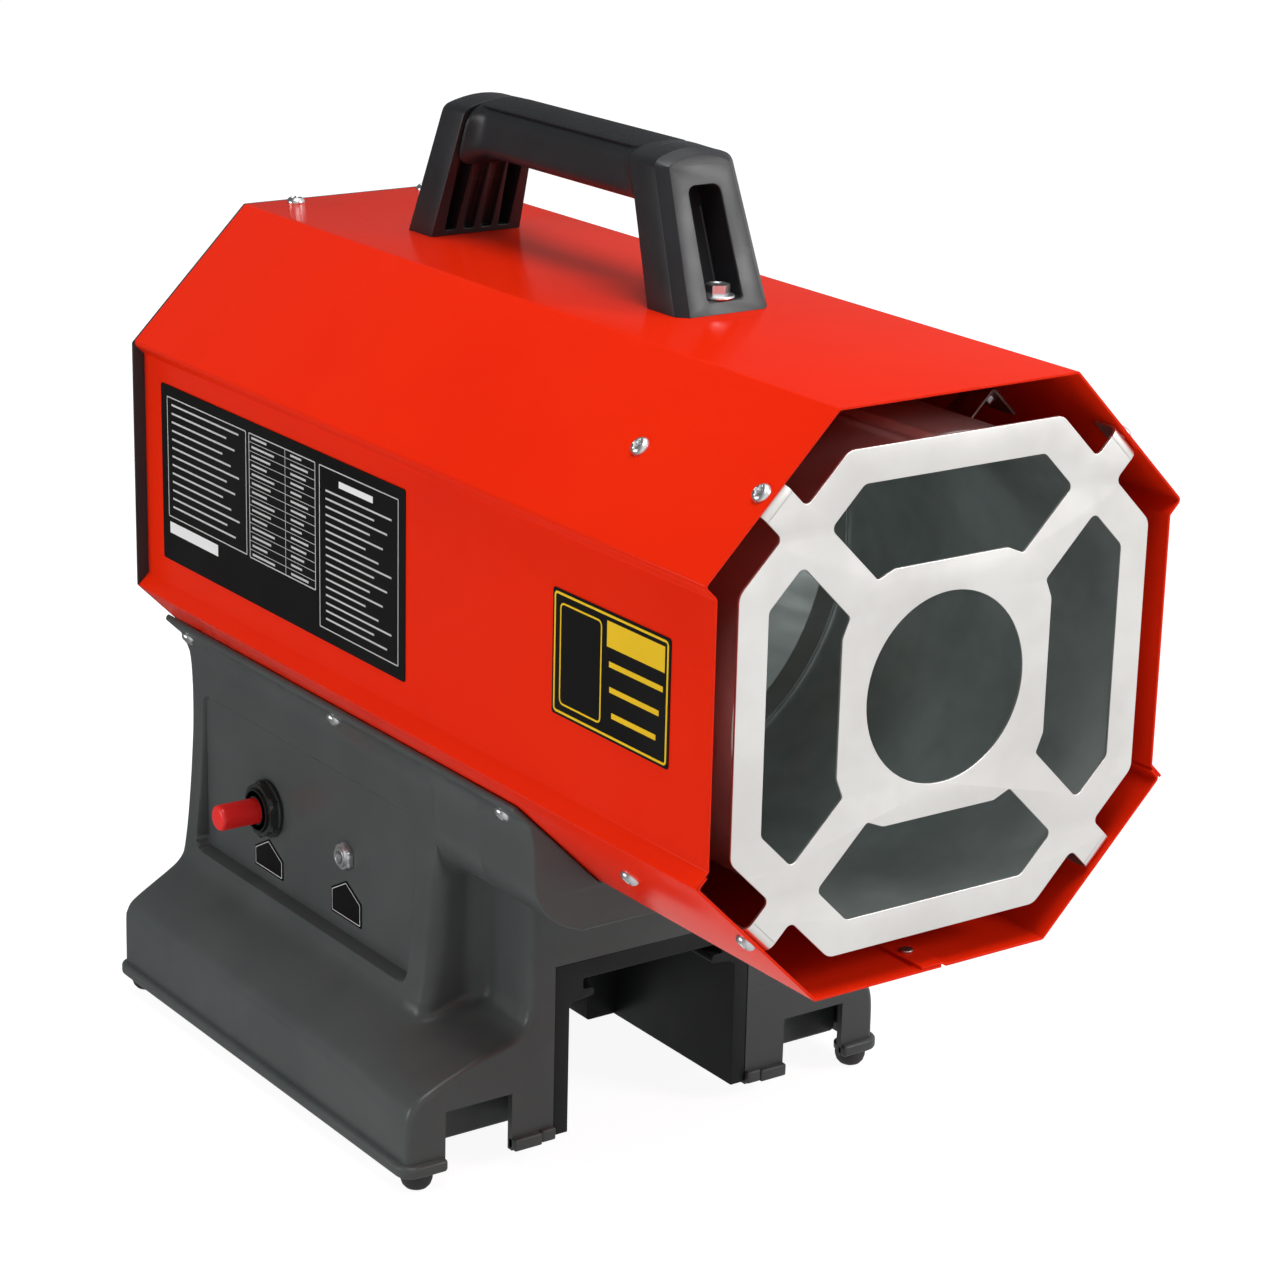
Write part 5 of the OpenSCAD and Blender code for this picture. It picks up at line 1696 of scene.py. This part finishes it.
@dataclass
class Fasteners:
    """Pan-head screws with a cross recess."""

    head_r: float = 3.8
    tab_in: float = 4.8
    saddle: float = SLANT + 2.9

    @staticmethod
    def screw(length: float, head_r: float, shank_r: float) -> Skin:
        """A screw standing on its head's underside.

        With r as a share of the head's radius, its height is H (1 - r^3.2)^0.5, less the cross:
        two bars that narrow towards their ends and ease down to a flat floor.

        Args:
            length: The length under the head.
            head_r: The head's radius.
            shank_r: The shank's radius.

        Returns:
            The screw.
        """
        tall, reach, sides = 0.6 * head_r, 0.6, 72
        r = np.concatenate([np.linspace(0.02, 0.66, 14), np.sin(np.linspace(0.76, math.pi / 2, 9))])[:, None]
        angle = np.linspace(0, 2 * math.pi, sides, endpoint=False)
        x, y = r * np.cos(angle), r * np.sin(angle)
        arm = np.minimum(np.maximum(np.abs(x), np.abs(y)), reach)
        near = np.minimum(np.abs(x), np.abs(y)) - (0.17 - 0.10 * arm / reach)
        cut = ease((0.10 - near) / 0.16) * ease((reach - r) / 0.12)
        high = tall * (np.sqrt(np.clip(1 - r**3.2, 0, 1)) - 0.55 * cut)
        dome = np.stack([x * head_r, y * head_r, high], axis=-1)
        centre = np.zeros_like(dome[:1])
        centre[..., 2] = high[0].mean()
        under = spun([[head_r, 0.0], [head_r * 0.98, -0.02], [shank_r, -0.02], [shank_r, 0.4 - length],
                      [shank_r - 0.4, -length], [0, -length]], sides)
        return joined([grid(dome, wrap=True), grid(np.concatenate([centre, dome[:1]]), wrap=True), under])

    @staticmethod
    def placed(degrees: float, out: float, y: float, along: float, skin: Skin) -> Skin:
        """A screw standing on a face of the octagon, at a distance out from the body's axis."""
        return skin.on("xyz", x=along, y=y, z=AXIS_H + out + FIT).turned(degrees)

    def build(self) -> None:
        """Makes every visible screw."""
        short, long = self.screw(5.0, self.head_r, 2.0), self.screw(9.0, self.head_r, 2.0)
        motor, strap = self.screw(6.0, 2.8, 1.5), self.screw(6.0, 3.0, 1.6)
        rows = (Outlet.face + self.tab_in, Outlet.strap_y)
        body = [self.placed(a, SLANT, y, 0, short) for a in (45, -45, 135, -135) for y in rows]
        saddle = [self.placed(s * 135, self.saddle, y, s * -3.5, long)
                  for s in (-1, 1) for y in (-60.5, 62.95, 185.3)]
        rear = [self.placed(0, HALF, 182.6, s * 31.5, short) for s in (-1, 1)]
        inside = [motor.on("xzy", x=s * 12.5, y=113.5, z=AXIS_H) for s in (-1, 1)]
        inside += [strap.on("xzy", x=s * 95.5, y=Rear.y + FIT, z=AXIS_H + t * 9)
                   for s in (-1, 1) for t in (-1, 1)]
        for name, screws, finish, node in (
                ("body_screw_set", body, Finishes.SCREW, "body_screws"),
                ("saddle_screw_set", saddle, Finishes.SCREW, "saddle_screws"),
                ("rear_screw_pair", rear, Finishes.SCREW, "rear_screws"),
                ("motor_screw_set", inside, Finishes.BOLT, "motor_screws")):
            piece(name, joined(screws), finish, node, angle=50)


@dataclass
class Rear:
    """The rear panel with its air inlet and the wire guard behind it."""

    y: float = 190.0
    sheet: float = 1.0
    inlet: float = 84.0
    hub_y: float = 187.9

    def flange(self, x0: float, x1: float, z: float) -> Skin:
        """A flange folded forward, with its free corners rounded."""
        outline = rounded(rect(x0, x1, -14.0, 0), [2, 2, 0.1, 0.1], 4)
        return solid(outline, edges(self.sheet, 0.2)).on("xyz", y=self.y - 0.6, z=AXIS_H + z)

    def panel(self) -> None:
        """The octagonal plate with a rolled inlet rim, and its folded top and bottom flanges."""
        corners = both_sides([[FLAT, -HALF], [HALF, -FLAT], [HALF, FLAT], [FLAT, HALF]])
        plate = solid(rounded(corners, 1.5, 4), edges(self.sheet, 0.2),
                      through=[round_outline(self.inlet + 1.0, 128)])
        rim = spun(self.rim_section(), 128, closed=True)
        parts = [skin.on("xzy", y=self.y - self.sheet, z=AXIS_H) for skin in (plate, rim)]
        lip, reach = HALF - 1.1, FLAT - 3
        tab = self.flange(9.5, reach, -lip)
        parts += [self.flange(-reach, reach, lip - self.sheet), tab, tab.mirrored()]
        piece("rear_plate", joined(parts), Finishes.BLACK, "rear_panel")

    def rim_section(self) -> Array:
        """The inlet rim's closed section, turned inward by quarter ellipses.

        Returns:
            Pairs of radius and depth.
        """
        a = np.linspace(0, math.pi / 2, 6)
        outer, inner = (np.stack([self.inlet + 1.6 - r * np.sin(a), 0.05 + h * np.cos(a)], axis=1)
                        for r, h in ((1.5, 0.9), (1.0, 0.4)))
        return np.concatenate([outer, inner[::-1]])

    def guard(self) -> None:
        """Wire rings on eight radial wires round a small disc."""
        outer = self.inlet + 3.0
        parts = [ring(radius, 1.0) for radius in np.linspace(21, outer, 7)]
        for x, z in round_outline(1.0, 8):
            parts.append(rod(np.linspace(7, outer, 6)[:, None] * [x, z, 0], 0.95, 10))
        parts.append(spun([[0, -0.9], [7.6, -0.9], [8.0, -0.5], [8.0, 0.5], [7.6, 0.9], [0, 0.9]], 48))
        piece("fan_guard_wires", joined(parts).on("xzy", y=self.hub_y, z=AXIS_H), Finishes.BLACK,
              "fan_guard", angle=50)

    def build(self) -> None:
        """Makes the rear."""
        self.panel()
        self.guard()


@dataclass
class FanUnit:
    """The impeller, its motor and the bracket that carries them."""

    y: float = 134.0
    radius: float = 77.6
    hub: float = 16.0
    blades: int = 6
    chord: float = 40.0
    pitch: float = 32.0

    def blade(self, turn: float) -> Skin:
        """A cambered blade: a point at radius r and share c of the chord, twisted less outward.

        Args:
            turn: The blade's direction, in degrees.

        Returns:
            The blade.
        """
        r = np.linspace(self.hub - 2, self.radius, 20)[:, None]
        c = np.linspace(-1, 1, 13)[None, :]
        share = (r - self.hub) / (self.radius - self.hub)
        width = self.chord / 2 * (0.72 + 0.28 * np.sin(math.pi * np.clip(share, 0, 1) * 0.8 + 0.35))
        twist = np.radians(self.pitch + 5 - 9 * share)
        side, depth = width * c * np.cos(twist), width * c * np.sin(twist) - 1.8 * (1 - c**2)
        inner = np.where(r < 30, r, np.sqrt(np.maximum(r**2 - side**2, 0.2)))
        a = math.radians(turn)
        x, z = inner * math.cos(a) - side * math.sin(a), inner * math.sin(a) + side * math.cos(a)
        sheet = np.stack([x + 0 * c, z + 0 * c, depth + 0 * r], axis=-1)
        return walled(sheet, 1.2)

    def build(self) -> None:
        """Makes the fan and its motor."""
        parts = [self.blade(360 * i / self.blades) for i in range(self.blades)]
        parts.append(spun([[2.55, -8], [14.5, -8], [self.hub, -6.5], [self.hub, 6.6], [14.6, 8], [6, 8],
                           [5.2, 6.9], [2.55, 6.9]], 64, closed=True))
        piece("fan_blades", joined(parts).on("xzy", y=self.y, z=AXIS_H), Finishes.FAN, "fan_impeller",
              body="fan", angle=40)
        refined("motor_shaft", Finishes.BOLT, 0.3, body="fan")
        refined("fan_nut", Finishes.BRASS, 0.3, body="fan")
        refined("fan_motor", Finishes.ZINC, 0.8)
        refined("motor_bracket", Finishes.ZINC, 0.2)


@dataclass
class GasTrain:
    """The inlet union, valve, pipe and the leads and board inside the base."""

    wall_y: float = 192.8

    def build(self) -> None:
        """Makes the inlet with its thread and dresses what lies inside."""
        hexed = spun([[7.0, 0.05], [11.3, 0.05], [12.3, 0.8], [12.3, 4.3], [11.3, 5.2], [7.0, 5.2]], 96,
                     hexagon(21.2), closed=True)
        pipe = np.concatenate([[[3.5, -20.9], [3.5, 16.2], [4.2, 17.1], [7.0, 17.15]],
                               thread(8.25, 0.62, 9, 16.8, 5.2, 61), [[8.9, 5.15], [8.9, -20.9]]])
        union = (spun(pipe, 72, closed=True) + hexed).on("xzy", y=self.wall_y, z=CONTROL_H)
        piece("gas_union", union, Finishes.BRASS, "gas_inlet", angle=45)
        refined("gas_valve", Finishes.BRASS, 0.8)
        refined("gas_pipe", Finishes.COPPER, 0.0)
        refined("control_board", Finishes.BOARD, 0.2)
        for node in ("motor_leads", "ignition_lead", "power_leads"):
            refined(node, Finishes.LEAD, 0.0)


@dataclass
class Studio:
    """The camera, the pale floor and the soft lamps."""

    azimuth: float = -35.42
    elevation: float = 17.895
    roll: float = 1.395
    lens: float = 96.87
    place: tuple = (-0.7342, -1.0604, 0.6103)
    ambient: float = 0.28
    near: float = 0.88
    far: float = 0.12
    bright: tuple = (0.56, -0.83, 0.0)
    sensor: float = 36.0
    floor_hw: float = 12000.0
    floor_z: float = -0.2

    def camera(self) -> None:
        """Sets the camera from its direction: back is (sin a cos e, -cos a cos e, sin e)."""
        a, e, k = (math.radians(v) for v in (self.azimuth, self.elevation, self.roll))
        back = Vector((math.sin(a) * math.cos(e), -math.cos(a) * math.cos(e), math.sin(e)))
        right = Vector((math.cos(a), math.sin(a), 0))
        up = back.cross(right)
        side = math.cos(k) * right + math.sin(k) * up
        top = math.cos(k) * up - math.sin(k) * right
        data = bpy.data.cameras.new("camera")
        data.lens, data.sensor_width = self.lens, self.sensor
        data.clip_start, data.clip_end = 0.05, 60.0
        camera = added("camera", data)
        turn = Matrix((side, top, back)).transposed().to_4x4()
        camera.matrix_world = Matrix.Translation(self.place) @ turn
        bpy.context.scene.camera = camera

    @staticmethod
    def lamp(name: str, place: Sequence, size: float, power: float, aim: Sequence = (0, 0, 0.2)) -> None:
        """Adds a square soft lamp that points at a place.

        Args:
            name: The lamp's name.
            place: Where it stands, in metres.
            size: Its side's length.
            power: Its power in watts.
            aim: The place that it points at.
        """
        data = bpy.data.lights.new(name, "AREA")
        data.energy, data.size = power, size
        lamp = added(name, data)
        lamp.location = place
        lamp.rotation_mode = "QUATERNION"
        lamp.rotation_quaternion = (Vector(aim) - Vector(place)).to_track_quat("-Z", "Y")

    @staticmethod
    def by_ray(g: Graph, plain: float, eye: float, mirror: Any) -> bpy.types.NodeSocket:
        """A value by the kind of ray: off a matt surface, from the camera, or off a gloss.

        Args:
            g: The graph.
            plain: The value off a matt surface.
            eye: The value from the camera.
            mirror: The value or socket off a gloss.

        Returns:
            The socket of the value.
        """
        path = g.add("LightPath").outputs
        seen = g.out("Math", {"operation": "MAXIMUM"}, _0=path["Is Glossy Ray"],
                     _1=path["Is Transmission Ray"])
        other = g.out("MapRange", Value=path["Is Camera Ray"], To_Min=plain, To_Max=eye)
        return g.out("Mix", {"data_type": "FLOAT"}, _0=seen, _2=other, _3=mirror)

    def mirrored(self, g: Graph, place: str, start: float, end: float) -> bpy.types.NodeSocket:
        """The level that a gloss shows: bright ahead of the outlet and to its right, dark behind."""
        ahead = g.add("VectorMath", {"operation": "DOT_PRODUCT"}, _0=g.add("TexCoord").outputs[place],
                      _1=self.bright).outputs["Value"]
        return g.out("MapRange", {"interpolation_type": "SMOOTHSTEP"}, Value=ahead, From_Min=start,
                     From_Max=end, To_Min=self.far, To_Max=self.near)

    def world(self) -> None:
        """A world that looks white, lights at a plain level and is uneven off a gloss."""
        world = bpy.data.worlds.new("studio")
        bpy.context.scene.world = world
        g = Graph.emptied(world)
        level = self.by_ray(g, self.ambient, 1.0, self.mirrored(g, "Generated", -0.5, 0.6))
        g.add("OutputWorld", Surface=g.out("Background", Color=(1, 1, 1, 1), Strength=level))

    def floor(self) -> None:
        """A wide floor, nearly white to the eye, that keeps the heater's shadow."""
        reach = np.linspace(-self.floor_hw, self.floor_hw, 5)
        x, y = np.meshgrid(reach, reach, indexing="ij")
        floor = added("floor", grid(np.stack([x, y, np.full_like(x, self.floor_z)], axis=-1)).mesh("floor"))
        material = bpy.data.materials.new("floor_white")
        g = Graph.emptied(material)
        shown = self.mirrored(g, "Object", -0.5, 0.5)
        matt = g.out("BsdfDiffuse", Color=(0.9, 0.9, 0.9, 1))
        glow = g.out("Emission", Color=(1, 1, 1, 1), Strength=self.by_ray(g, 1.0, 1.32, shown))
        mix = g.out("MixShader", _0=self.by_ray(g, 0.12, 0.7, 1.0), _1=matt, _2=glow)
        g.add("OutputMaterial", Surface=mix)
        floor.data.materials.append(material)

    def build(self) -> None:
        """Sets the whole studio."""
        self.camera()
        self.world()
        self.floor()
        self.lamp("key", (-0.2, -0.6, 2.6), 1.2, 38, (0, -0.05, 0.25))
        self.lamp("front", (1.22, -1.57, 1.18), 0.62, 15, (0, -0.1, 0.3))
        self.lamp("side", (-2.2, 0.7, 0.22), 1.2, 24, (0, 0, 0.15))
        self.lamp("top", (0.6, 0.5, 2.3), 1.5, 7)
        bpy.context.scene.view_settings.view_transform = "Standard"


def main() -> None:
    """Builds the studio and each sub-assembly in order."""
    logging.basicConfig(level=logging.INFO, format="%(message)s", stream=sys.stdout)
    for part in (Studio(), Body(), Outlet(), Handle(), Base(), Dock(), Controls(), Labels(), Fasteners(),
                 Rear(), FanUnit(), GasTrain()):
        LOG.info("-- %s", type(part).__name__)
        part.build()


if __name__ == "__main__":
    main()
